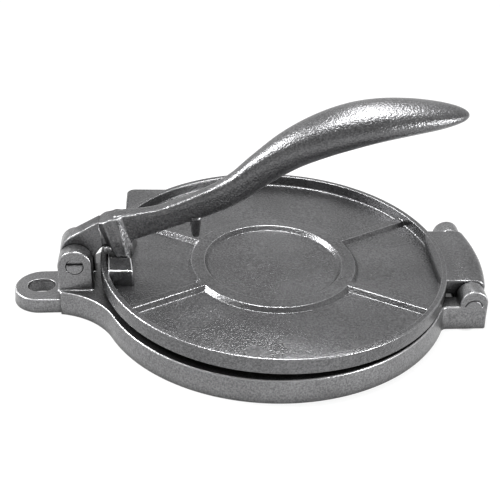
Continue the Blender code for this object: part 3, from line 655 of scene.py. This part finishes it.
# Each row: centre along X and Z from the lever's axis, half depth, half width, squareness
SECTIONS = np.array([
    (0.0233, 0.0185, 0.0090, 0.0046, 6.0),
    (0.0323, 0.0196, 0.0091, 0.0046, 6.0),
    (0.0513, 0.0242, 0.0074, 0.0046, 5.0),
    (0.0653, 0.0291, 0.0074, 0.0047, 4.4),
    (0.0753, 0.0330, 0.0079, 0.0049, 3.8),
    (0.0873, 0.0383, 0.0084, 0.0056, 3.3),
    (0.0993, 0.0459, 0.0088, 0.0068, 2.9),
    (0.1103, 0.0553, 0.0094, 0.0085, 2.6),
    (0.1273, 0.0677, 0.0108, 0.0120, 2.3),
    (0.1443, 0.0763, 0.0119, 0.0152, 2.1),
    (0.1613, 0.0823, 0.0123, 0.0168, 2.0),
    (0.1773, 0.0858, 0.0113, 0.0170, 2.0),
    (0.1943, 0.0876, 0.0095, 0.0155, 2.0),
    (0.2093, 0.0882, 0.0074, 0.0125, 2.0),
    (0.2193, 0.0884, 0.0053, 0.0090, 2.0),
    (0.2253, 0.0884, 0.0033, 0.0056, 2.0),
    (0.2280, 0.0884, 0.0015, 0.0026, 2.0),
    (0.2286, 0.0884, 0.0003, 0.0005, 2.0),
])


def smooth_rows(rows, steps):
    """Catmull-Rom curve through the rows: a cubic between each two that leaves with their mean slope."""
    padded = np.concatenate([rows[:1], rows, rows[-1:]])
    share = np.linspace(0, 1, steps + 1)[:-1, None, None]
    before, first, last, after = padded[:-3], padded[1:-2], padded[2:-1], padded[3:]
    cubic = (first + share * (last - before) / 2
             + share ** 2 * (before - 2.5 * first + 2 * last - after / 2)
             + share ** 3 * (1.5 * (first - last) + (after - before) / 2))
    return np.concatenate([np.swapaxes(cubic, 0, 1).reshape(-1, rows.shape[1]), rows[-1:]])


def arm_grid():
    """Place a superellipse |x|^n + |y|^n = 1 square to the curve at each smooth row."""
    rows = smooth_rows(SECTIONS, 8)[2:]
    direction = np.gradient(rows[:, :2], axis=0)
    direction /= np.linalg.norm(direction, axis=1, keepdims=True)
    turn = math.tau * (np.arange(ARM_COLUMNS) + 0.5) / ARM_COLUMNS
    power = 2 / rows[:, 4][:, None]
    across = np.sign(np.cos(turn)) * np.abs(np.cos(turn)) ** power * rows[:, 3][:, None]
    upward = np.sign(np.sin(turn)) * np.abs(np.sin(turn)) ** power * rows[:, 2][:, None]
    x = LEVER_AXIS[0] + rows[:, 0][:, None] - direction[:, 1][:, None] * upward
    z = LEVER_AXIS[2] + rows[:, 1][:, None] + direction[:, 0][:, None] * upward
    return np.stack([x, across, z], axis=-1)


arm = skin("lever_arm", arm_grid(), "lever")
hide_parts("lever")
pieces_of_lever = [arm]

# %% [markdown]
# ## The boss and the foot
# The lever's root is a flat web.  The boss is a round plate on the pin, drawn
# across the press.  The foot grows out of the web as a smooth bulge that leans
# towards the boss at its top, with a shallow flute down its middle.  A short
# round stub crosses the web beside the foot, and a small peg points down from
# the arm.

# %% Boss
pivot = LEVER_AXIS[[0, 2]]
WEB_HALF = 0.005
BOSS_RADIUS = 0.0101
BOSS_EDGE = 0.0008
boss_side = np.concatenate([
    [(0.0150, 0.0243), (-0.0008, 0.0155), (-0.0027, 0.0144), (-0.0045, 0.0130), (-0.0058, 0.0117),
     (-0.0069, 0.0103), (-0.0079, 0.0085), (-0.0087, 0.0064), (-0.0094, 0.0040), (-0.0099, 0.0015)],
    arc((0, 0), BOSS_RADIUS, 184, 355, 40),
    [(0.0148, 0.0061), (0.0170, 0.0080)],
]) + pivot
boss = prism_grid(boss_side, edge_profile(-WEB_HALF, WEB_HALF, BOSS_EDGE, BOSS_EDGE), across=True)
pieces_of_lever.append(skin("lever_boss", boss, "lever"))


# %% Web and foot as one bulging loft
def smooth_step(share):
    """The cubic t t (3 - 2 t) of a share held between 0 and 1."""
    share = np.clip(share, 0, 1)
    return share * share * (3 - 2 * share)


FOOT_LEFT = 0.0190
FOOT_RIGHT = 0.0345
LEFT_LEAN = 0.30
RIGHT_LEAN = 0.22
LEAN_LEVEL = 0.008
LEFT_RUN = 0.0046
RIGHT_RUN = 0.0056
BULGE = 0.0037
TAPER = 0.0014
TAPER_START = 0.010
TAPER_RUN = 0.016
FLUTE_DEPTH = 0.0008
FLUTE_SHARE = 0.15
FLUTE_START = 0.001
FLUTE_RUN = 0.008
GROOVE_DEPTH = 0.0004
GROOVE_OFFSET = 0.0002
GROOVE_RUN = 0.0016
WEB_SIDE = 0.0047


def foot_half_width(x, z):
    """Half width: that of the web, plus a bump between two leaning sides, less a flute down its middle."""
    left = FOOT_LEFT - LEFT_LEAN * (z - LEAN_LEVEL)
    right = FOOT_RIGHT - RIGHT_LEAN * (z - LEAN_LEVEL)
    bump = smooth_step((x - left) / LEFT_RUN) * smooth_step((right - x) / RIGHT_RUN)
    height = BULGE - TAPER * smooth_step((z - TAPER_START) / TAPER_RUN)
    middle = (x - left) / (right - left)
    hollow = np.exp(-((middle - 0.50) / FLUTE_SHARE) ** 2)
    flute = FLUTE_DEPTH * hollow * smooth_step((z - FLUTE_START) / FLUTE_RUN)
    groove = GROOVE_DEPTH * np.exp(-((x - left + GROOVE_OFFSET) / GROOVE_RUN) ** 2)
    return WEB_SIDE + bump * (height - flute) - groove


# Each station: first and last place along X from the lever's axis, and how many sections between
FOOT_STATIONS = [(0.0100, 0.0210, 14), (0.0214, 0.0230, 6), (0.0236, 0.0308, 14),
                 (0.0312, 0.0340, 10), (0.0346, 0.0375, 6)]
# Each point: X and Z from the lever's axis
FOOT_TOP = np.array([
    (0.0100, 0.0212), (0.0140, 0.0235), (0.0173, 0.0248), (0.0207, 0.0262), (0.0250, 0.0272),
    (0.0280, 0.0277), (0.0300, 0.0283), (0.0330, 0.0286), (0.0375, 0.0292)])
FOOT_BOTTOM = np.array([
    (0.0100, 0.0010), (0.0148, 0.0062), (0.0184, 0.0085), (0.0214, 0.0080), (0.0224, 0.0046),
    (0.0262, 0.0009), (0.0275, 0.00047), (0.0312, 0.00036), (0.0322, 0.0010), (0.0332, 0.0060),
    (0.0345, 0.0112), (0.0375, 0.0130)])
FOOT_ROUND = 0.0008


def foot_grid():
    """Upright sections along X: a top and a bottom line, and sides that follow the half width."""
    x = np.concatenate([np.linspace(*station) for station in FOOT_STATIONS])
    top = np.interp(x, FOOT_TOP[:, 0], FOOT_TOP[:, 1])
    bottom = np.interp(x, FOOT_BOTTOM[:, 0], FOOT_BOTTOM[:, 1])
    turn = np.radians(np.linspace(0, 90, 6))
    lift = FOOT_ROUND * (1 - np.cos(turn))
    pull = FOOT_ROUND * (1 - np.sin(turn))
    inner = np.linspace(0, 1, 26)[1:-1]
    span = (top - bottom)[:, None]
    wall = FOOT_ROUND + (span - 2 * FOOT_ROUND) * inner
    up = np.concatenate([np.broadcast_to(lift, (len(x), len(lift))), wall, span - lift[::-1]], axis=1)
    z = bottom[:, None] + up
    taken = np.concatenate([pull, np.zeros(len(inner)), pull[::-1]])
    half = foot_half_width(x[:, None], z) - taken
    near = np.stack([np.broadcast_to(x[:, None], z.shape), -half, z], axis=-1)
    far = near[:, ::-1] * [1, -1, 1]
    return np.concatenate([near, far], axis=1) + [pivot[0], 0, pivot[1]]


pieces_of_lever.append(skin("lever_foot", foot_grid(), "lever"))

# %% Stub and peg
def turned_grid(profile, steps, centre, axis):
    """Turn a profile of radius and height round an axis: (r cos a, r sin a) square to it."""
    turn = math.tau * np.arange(steps) / steps
    ring_a = profile[:, 0][:, None] * np.cos(turn)
    ring_b = profile[:, 0][:, None] * np.sin(turn)
    height = np.repeat(profile[:, 1][:, None], steps, axis=1)
    order = {"Y": (ring_a, height, ring_b), "Z": (ring_a, ring_b, height)}[axis]
    return np.stack(order, axis=-1) + np.array(centre)


STUB_RADIUS = 0.0026
STUB_EDGE = 0.0009
STUB_HALF = 0.0067
STUB_X = 0.0197
STUB_Z = 0.0063
PEG_RADIUS = 0.0024
PEG_EDGE = 0.0011
PEG_END = 0.0112
PEG_X = 0.0723
PEG_FLARE = [(0.0035, 0.0227), (0.0055, 0.0262)]

stub_profile = np.concatenate([arc((STUB_RADIUS - STUB_EDGE, -STUB_HALF), STUB_EDGE, -90, 0, 5),
                               arc((STUB_RADIUS - STUB_EDGE, STUB_HALF), STUB_EDGE, 0, 90, 5)])
stub_place = (pivot[0] + STUB_X, 0, pivot[1] + STUB_Z)
pieces_of_lever.append(skin("lever_stub", turned_grid(stub_profile, 48, stub_place, "Y"), "lever"))
peg_tip = arc((PEG_RADIUS - PEG_EDGE, PEG_END + PEG_EDGE), PEG_EDGE, -90, 0, 6)
peg_profile = np.concatenate([peg_tip, PEG_FLARE])
peg_place = (pivot[0] + PEG_X, 0, pivot[1])
pieces_of_lever.append(skin("lever_peg", turned_grid(peg_profile, 48, peg_place, "Z"), "lever"))

# %% [markdown]
# ## The two pins
# Each pin is a turned rod through its ears, with a small round edge at its
# ends.  The lever's pin is staked: a chord is cut from its near end, so its
# upper part lies back in the bore and looks darker.

# %% Pins
PIN_RADIUS = 0.005
PIN_EDGE = 0.0006
STAKE_DEPTH = 0.0016
STAKE_CHORD = 14
STAKE_EDGE = 0.0004
STAKE_ROOT_EDGE = 0.0001
STAKE_OVERLAP = 0.0002
HINGE_PIN_REACH = 0.0412
LEVER_PIN_REACH = 0.0152


def pin(name, axis, near, far):
    """A rod along Y with rounded ends, centred on a joint axis."""
    core = PIN_RADIUS - PIN_EDGE
    profile = np.concatenate([[(core - SUPPORT, near)],
                              arc((core, near + PIN_EDGE), PIN_EDGE, -90, 0, 5),
                              arc((core, far - PIN_EDGE), PIN_EDGE, 0, 90, 5),
                              [(core - SUPPORT, far)]])
    piece = skin(name + "_rod", turned_grid(profile, 64, (axis[0], 0, axis[2]), "Y"), "base")
    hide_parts(name)
    return piece


pins = [pin("hinge_pin", HINGE_AXIS, -HINGE_PIN_REACH, HINGE_PIN_REACH),
        pin("lever_pin", LEVER_AXIS, STAKE_DEPTH - LEVER_PIN_REACH, LEVER_PIN_REACH)]
staked = arc(pivot, PIN_RADIUS, 180 - STAKE_CHORD, 360 + STAKE_CHORD, 56)
stake_profile = edge_profile(-LEVER_PIN_REACH, STAKE_DEPTH - LEVER_PIN_REACH + STAKE_OVERLAP,
                             STAKE_EDGE, STAKE_ROOT_EDGE)
pins.append(skin("lever_pin_staked_end", prism_grid(staked, stake_profile, across=True), "base"))

# %% [markdown]
# ## The finish of the castings
# The sand of the mould prints its grains on the metal, so a casting glitters
# where a lamp is near its mirror direction and looks matt elsewhere.  The grain
# is a relief of two sizes: round grains, and a softer swell below them.  It is
# built once as a node group, and every material sets its own size and depth.

# %% A small helper for node groups
def node_group(name, inputs, outputs):
    """Start a shader node group with float, vector or colour sockets, and return it with its ends."""
    kinds = {"float": "NodeSocketFloat", "vector": "NodeSocketVector", "colour": "NodeSocketColor"}
    group = bpy.data.node_groups.new(name, "ShaderNodeTree")
    for label, kind, value in inputs:
        socket = group.interface.new_socket(label, in_out="INPUT", socket_type=kinds[kind])
        if value is not None:
            socket.default_value = value
    for label, kind in outputs:
        group.interface.new_socket(label, in_out="OUTPUT", socket_type=kinds[kind])
    return group, group.nodes.new("NodeGroupInput"), group.nodes.new("NodeGroupOutput")


def joined(tree, kind, links, **settings):
    """Add a node, set its properties, and fill its inputs with constants or with other sockets."""
    node = tree.nodes.new(kind)
    for key, value in settings.items():
        setattr(node, key, value)
    for key, value in links.items():
        if isinstance(value, bpy.types.NodeSocket):
            tree.links.new(value, node.inputs[key])
        else:
            node.inputs[key].default_value = value
    return node


# %% Sand grain relief
SWELL_SCALE_SHARE = 0.3

grain_group, grain_in, grain_out = node_group(
    "sand_grain",
    [("Vector", "vector", None), ("Grain Scale", "float", 1100.0), ("Swell Share", "float", 0.35)],
    [("Height", "float"), ("Speckle", "float")])
grains = joined(grain_group, "ShaderNodeTexVoronoi",
                {"Vector": grain_in.outputs["Vector"], "Scale": grain_in.outputs["Grain Scale"]},
                feature="SMOOTH_F1")
grit = joined(grain_group, "ShaderNodeTexNoise",
              {"Vector": grain_in.outputs["Vector"], "Scale": grain_in.outputs["Grain Scale"], "Detail": 3.0})
coarse = joined(grain_group, "ShaderNodeMath",
                {0: grain_in.outputs["Grain Scale"], 1: SWELL_SCALE_SHARE}, operation="MULTIPLY")
swell = joined(grain_group, "ShaderNodeTexNoise",
               {"Vector": grain_in.outputs["Vector"], "Scale": coarse.outputs[0], "Detail": 2.0})
fine = joined(grain_group, "ShaderNodeMath", {0: grit.outputs[0], 1: grains.outputs["Distance"]},
              operation="SUBTRACT")
height = joined(grain_group, "ShaderNodeMath",
                {0: swell.outputs[0], 1: grain_in.outputs["Swell Share"], 2: fine.outputs[0]},
                operation="MULTIPLY_ADD")
grain_group.links.new(height.outputs[0], grain_out.inputs["Height"])
grain_group.links.new(grit.outputs[0], grain_out.inputs["Speckle"])
print("group", grain_group.name, "has", len(grain_group.nodes), "nodes")

# %% [markdown]
# ## Tone, oil, brightened edges and painted shade
# The castings are oiled and darkened.  The tone drifts in clouds some
# centimetres wide, the film leaves some patches glossier, and the ridges that
# face up are brightened: partly rubbing, partly a painted highlight.  Hollows
# are darkened by ambient occlusion, which is painted shade.  The second group
# mixes all of this and hands out colour and roughness.

# %% Casting tone
PAINTED_SHADE_REACH = 0.014

tone_group, tone_in, tone_out = node_group(
    "casting_tone",
    [("Vector", "vector", None), ("Speckle", "float", 0.5), ("Tone", "colour", (0.2, 0.2, 0.2, 1)),
     ("Worn Tone", "colour", (0.4, 0.4, 0.4, 1)), ("Roughness", "float", 0.38),
     ("Cloud Scale", "float", 30.0), ("Wear", "float", 0.6)],
    [("Color", "colour"), ("Roughness", "float")])
clouds = joined(tone_group, "ShaderNodeTexNoise",
                {"Vector": tone_in.outputs["Vector"], "Scale": tone_in.outputs["Cloud Scale"], "Detail": 4.0})
drift = joined(tone_group, "ShaderNodeMapRange",
               {"Value": clouds.outputs[0], "From Min": 0.3, "From Max": 0.7, "To Min": 0.88, "To Max": 1.12})
flecks = joined(tone_group, "ShaderNodeMapRange",
                {"Value": tone_in.outputs["Speckle"], "From Min": 0.35, "From Max": 0.65,
                 "To Min": 0.7, "To Max": 1.3})
shade = joined(tone_group, "ShaderNodeMath", {0: drift.outputs[0], 1: flecks.outputs[0]},
               operation="MULTIPLY")
toned = joined(tone_group, "ShaderNodeVectorMath", {0: tone_in.outputs["Tone"], "Scale": shade.outputs[0]},
               operation="SCALE")
# Convex edges that face up are mixed towards a bright tone: partly real rubbing, partly a painted highlight.
bend = joined(tone_group, "ShaderNodeAttribute", {}, attribute_name="edge")
ridges = joined(tone_group, "ShaderNodeMapRange",
                {"Value": bend.outputs["Fac"], "From Min": 0.15, "From Max": 0.55})
facing = joined(tone_group, "ShaderNodeSeparateXYZ",
                {0: joined(tone_group, "ShaderNodeTexCoord", {}).outputs["Normal"]})
raised = joined(tone_group, "ShaderNodeMapRange",
                {"Value": facing.outputs["Z"], "From Min": -0.05, "From Max": 0.25})
reached = joined(tone_group, "ShaderNodeMath", {0: ridges.outputs[0], 1: raised.outputs[0]},
                 operation="MULTIPLY")
rubbed_and_highlit = joined(tone_group, "ShaderNodeMath", {0: reached.outputs[0], 1: tone_in.outputs["Wear"]},
                operation="MULTIPLY")
worn_and_highlit = joined(tone_group, "ShaderNodeMix",
              {0: rubbed_and_highlit.outputs[0], 6: toned.outputs[0], 7: tone_in.outputs["Worn Tone"]}, data_type="RGBA")
oil = joined(tone_group, "ShaderNodeMapRange",
             {"Value": clouds.outputs[0], "From Min": 0.3, "From Max": 0.7, "To Min": 0.9, "To Max": 1.1})
matt = joined(tone_group, "ShaderNodeMath", {0: tone_in.outputs["Roughness"], 1: oil.outputs[0]},
              operation="MULTIPLY")
# Ambient occlusion darkens the colour in hollows, crevices and between parts: painted shade.
hollow = joined(tone_group, "ShaderNodeAmbientOcclusion", {"Distance": PAINTED_SHADE_REACH}, samples=8)
painted_shade = joined(tone_group, "ShaderNodeMapRange",
              {"Value": hollow.outputs["AO"], "From Min": 0.12, "From Max": 0.62,
               "To Min": 0.18, "To Max": 1.0})
shade_painted_colour = joined(tone_group, "ShaderNodeVectorMath", {0: worn_and_highlit.outputs[2], "Scale": painted_shade.outputs[0]},
                operation="SCALE")
tone_group.links.new(shade_painted_colour.outputs[0], tone_out.inputs["Color"])
tone_group.links.new(matt.outputs[0], tone_out.inputs["Roughness"])
print("group", tone_group.name, "has", len(tone_group.nodes), "nodes")


# %% Materials of the castings and pins
OILED = (0.128, 0.128, 0.131)
LEVER_TONE = (0.132, 0.132, 0.135)
BASE_TONE = (0.180, 0.180, 0.183)
PIN_TONE = (0.20, 0.20, 0.204)
BRIGHT = (0.80, 0.80, 0.81)
METALLIC = 0.92


def metal(name, tone, roughness, grain_scale, relief, swell, wear_and_highlight):
    """A metal finish: the grain group drives the bump, and the tone group the colour and roughness."""
    material = bpy.data.materials.new(name)
    material.use_nodes = True
    tree = material.node_tree
    shader = tree.nodes["Principled BSDF"]
    place = joined(tree, "ShaderNodeTexCoord", {}).outputs["Object"]
    grain = joined(tree, "ShaderNodeGroup", {}, node_tree=grain_group)
    tree.links.new(place, grain.inputs["Vector"])
    grain.inputs["Grain Scale"].default_value = grain_scale
    grain.inputs["Swell Share"].default_value = swell
    tint = joined(tree, "ShaderNodeGroup", {}, node_tree=tone_group)
    tree.links.new(place, tint.inputs["Vector"])
    tree.links.new(grain.outputs["Speckle"], tint.inputs["Speckle"])
    tint.inputs["Tone"].default_value = (*tone, 1)
    tint.inputs["Worn Tone"].default_value = (*BRIGHT, 1)
    tint.inputs["Roughness"].default_value = roughness
    tint.inputs["Wear"].default_value = wear_and_highlight
    bump = joined(tree, "ShaderNodeBump", {"Height": grain.outputs["Height"], "Distance": relief,
                                           "Strength": 1.0})
    tree.links.new(tint.outputs["Color"], shader.inputs["Base Color"])
    tree.links.new(tint.outputs["Roughness"], shader.inputs["Roughness"])
    tree.links.new(bump.outputs["Normal"], shader.inputs["Normal"])
    shader.inputs["Metallic"].default_value = METALLIC
    print("material", name)
    return material


plate_metal = metal("plate_casting", OILED, roughness=0.27, grain_scale=900, relief=0.00014,
                    swell=0.5, wear_and_highlight=0.14)
# The seat has the plate's finish, with its up-facing edges brightened almost fully: partly wear, partly a
# painted highlight.
seat_metal = metal("seat_casting", OILED, roughness=0.27, grain_scale=900, relief=0.00008,
                   swell=0.3, wear_and_highlight=0.95)
base_metal = metal("base_casting", BASE_TONE, roughness=0.30, grain_scale=1000, relief=0.00014,
                   swell=0.4, wear_and_highlight=0.28)
lever_metal = metal("lever_casting", LEVER_TONE, roughness=0.30, grain_scale=1000, relief=0.00019,
                    swell=0.4, wear_and_highlight=0.30)
pin_metal = metal("pin_metal", PIN_TONE, roughness=0.30, grain_scale=1600, relief=0.00004,
                  swell=0.2, wear_and_highlight=0.0)
seat = [piece for piece in pieces_of_plate if piece.name.startswith("seat")]
dish = [piece for piece in pieces_of_plate if piece not in seat]
for pieces, material, slot in ((dish, plate_metal, "cast_iron"), (seat, seat_metal, "cast_iron"),
                               (pieces_of_base, base_metal, "cast_iron"),
                               (pieces_of_lever, lever_metal, "cast_iron"), (pins, pin_metal, "pin_steel")):
    for piece in pieces:
        piece.data.materials.append(material)

# %% [markdown]
# ## Camera
# A long lens from the front, 32 degrees up.  The lens is shifted sideways, so
# the press sits in the picture without the camera turning towards it.

# %% Camera
AZIMUTH = math.radians(-1.99)
ELEVATION = math.radians(31.99)
DISTANCE = 0.711
TARGET = Vector((-0.0315, 0.0514, 0))
LENS = 77.1
SENSOR_WIDTH = 36
SIDE_SHIFT = 0.0633
back = Vector((math.sin(AZIMUTH) * math.cos(ELEVATION), -math.cos(AZIMUTH) * math.cos(ELEVATION),
               math.sin(ELEVATION)))
camera = bpy.data.objects.new("camera", bpy.data.cameras.new("camera"))
bpy.context.scene.collection.objects.link(camera)
camera.location = TARGET + back * DISTANCE
camera.rotation_mode = "QUATERNION"
camera.rotation_quaternion = (-back).to_track_quat("-Z", "Y")
camera.data.lens = LENS
camera.data.sensor_width = SENSOR_WIDTH
camera.data.shift_x = SIDE_SHIFT
camera.data.clip_start = 0.01
camera.data.clip_end = 20
bpy.context.scene.camera = camera
print("camera at", tuple(round(value, 3) for value in camera.location))

# %% [markdown]
# ## Studio
# Metal shows what stands round it.  The dish mirrors the back of the studio,
# which is nearly white.  The slopes that face the camera mirror the front, which
# is dim.  Walls mirror the white table.  A long lamp overhead draws the bright
# line along the round edges, and three more lamps reach the rising arm, the tip
# of the grip and the front of the dish.

# %% Surroundings
FRONT_STRENGTH = 0.42
BACK_STRENGTH = 0.86
DIFFUSE_STRENGTH = 0.45

world = bpy.data.worlds.new("studio")
bpy.context.scene.world = world
world.use_nodes = True
sky = world.node_tree
sky_rays = joined(sky, "ShaderNodeLightPath", {})
skyward = joined(sky, "ShaderNodeTexCoord", {}).outputs["Generated"]
direction = joined(sky, "ShaderNodeSeparateXYZ", {0: skyward})
mirrored = joined(sky, "ShaderNodeMapRange",
                  {"Value": direction.outputs["Y"], "From Min": -0.45, "From Max": 0.35,
                   "To Min": FRONT_STRENGTH, "To Max": BACK_STRENGTH})
soft = joined(sky, "ShaderNodeMix",
              {0: sky_rays.outputs["Is Glossy Ray"], 2: DIFFUSE_STRENGTH, 3: mirrored.outputs[0]})
sky_level = joined(sky, "ShaderNodeMix",
                   {0: sky_rays.outputs["Is Camera Ray"], 2: soft.outputs[0], 3: 1.0})
sky.links.new(sky_level.outputs[0], sky.nodes["Background"].inputs["Strength"])
sky.nodes["Background"].inputs["Color"].default_value = (1, 1, 1, 1)
print("studio mirrored at", FRONT_STRENGTH, "in front and", BACK_STRENGTH, "behind")


# %% Lamps
def lamp(name, place, target, width, depth, power):
    """A rectangular lamp that faces its target."""
    data = bpy.data.lights.new(name, "AREA")
    data.shape = "RECTANGLE"
    data.size = width
    data.size_y = depth
    data.energy = power
    holder = bpy.data.objects.new(name, data)
    bpy.context.scene.collection.objects.link(holder)
    holder.location = place
    holder.rotation_mode = "QUATERNION"
    holder.rotation_quaternion = (Vector(target) - Vector(place)).to_track_quat("-Z", "Y")
    print("lamp", name, power, "W")


lamp("overhead", (-0.02, 0.04, 0.75), (-0.01, 0.01, 0.05), 0.50, 0.15, 7)
lamp("far_left", (-0.62, 0.17, 0.50), (-0.04, 0.0, 0.06), 0.40, 0.20, 8)
lamp("low_right", (0.75, -0.60, 0.18), (0.10, 0.0, 0.11), 0.30, 0.25, 9)
lamp("dish_front", (0.055, 0.15, 0.37), (0.01, -0.08, 0.02), 0.10, 0.08, 0.5)

# %% [markdown]
# ## Table
# The table is white paper that glows where the camera or a mirror sees it, so
# it stays white right up to the press, and it still takes a shadow.  In the
# pocket under the hinge, where the real table lies in the dark, both the glow
# and the paper's colour are turned down: painted shade.

# %% Table
TABLE_HALF = 4
TABLE_LEVEL = -0.0002
POCKET_MIDDLE = (0.112, 0.0, 0.0)
POCKET_HALF_X = 0.013
POCKET_HALF_Y = 0.034
POCKET_SHADE_GLOW = 0.12
GLOW_SHARE = 0.85

table_mesh = bpy.data.meshes.new("table")
table_mesh.from_pydata([(-TABLE_HALF, -TABLE_HALF, TABLE_LEVEL), (TABLE_HALF, -TABLE_HALF, TABLE_LEVEL),
                        (TABLE_HALF, TABLE_HALF, TABLE_LEVEL), (-TABLE_HALF, TABLE_HALF, TABLE_LEVEL)],
                       [], [(0, 1, 2, 3)])
table = bpy.data.objects.new("table", table_mesh)
bpy.context.scene.collection.objects.link(table)
paper = bpy.data.materials.new("paper")
paper.use_nodes = True
sheet = paper.node_tree
surface = sheet.nodes["Principled BSDF"]
spot = joined(sheet, "ShaderNodeTexCoord", {}).outputs["Object"]
moved = joined(sheet, "ShaderNodeVectorMath", {0: spot, 1: POCKET_MIDDLE}, operation="SUBTRACT")
scaled = joined(sheet, "ShaderNodeVectorMath",
                {0: moved.outputs[0], 1: (1 / POCKET_HALF_X, 1 / POCKET_HALF_Y, 0.0)},
                operation="MULTIPLY")
away = joined(sheet, "ShaderNodeVectorMath", {0: scaled.outputs[0]}, operation="LENGTH")
# Mask that is 1 outside the pocket under the hinge; inside it, the paper's colour and glow are lowered as
# painted shade.
table_outside_painted_shade = joined(sheet, "ShaderNodeMapRange",
                    {"Value": away.outputs["Value"], "From Min": 1.1, "From Max": 1.3})
fibre = joined(sheet, "ShaderNodeTexNoise", {"Vector": spot, "Scale": 400.0})
whiteness = joined(sheet, "ShaderNodeMapRange", {"Value": fibre.outputs[0], "To Min": 0.88, "To Max": 0.92})
tint = joined(sheet, "ShaderNodeMath", {0: whiteness.outputs[0], 1: table_outside_painted_shade.outputs[0]},
              operation="MULTIPLY")
sheet.links.new(tint.outputs[0], surface.inputs["Base Color"])
surface.inputs["Roughness"].default_value = 0.9
surface.inputs["Specular IOR Level"].default_value = 0
sheet_rays = joined(sheet, "ShaderNodeLightPath", {})
seen = joined(sheet, "ShaderNodeMath",
              {0: sheet_rays.outputs["Is Camera Ray"], 1: sheet_rays.outputs["Is Glossy Ray"]},
              operation="MAXIMUM")
shining = joined(sheet, "ShaderNodeMath", {0: seen.outputs[0], 1: GLOW_SHARE}, operation="MULTIPLY")
glow = joined(sheet, "ShaderNodeMapRange",
              {"Value": table_outside_painted_shade.outputs[0], "To Min": POCKET_SHADE_GLOW, "To Max": 1.0})
emission = joined(sheet, "ShaderNodeEmission", {"Strength": glow.outputs[0]})
blend = joined(sheet, "ShaderNodeMixShader",
               {0: shining.outputs[0], 1: surface.outputs[0], 2: emission.outputs[0]})
sheet.links.new(blend.outputs[0], sheet.nodes["Material Output"].inputs["Surface"])
table.data.materials.append(paper)
print("table", 2 * TABLE_HALF, "m wide, with its glow masked round", POCKET_MIDDLE)

# %% Colour view, and the end
bpy.context.scene.view_settings.view_transform = "Standard"
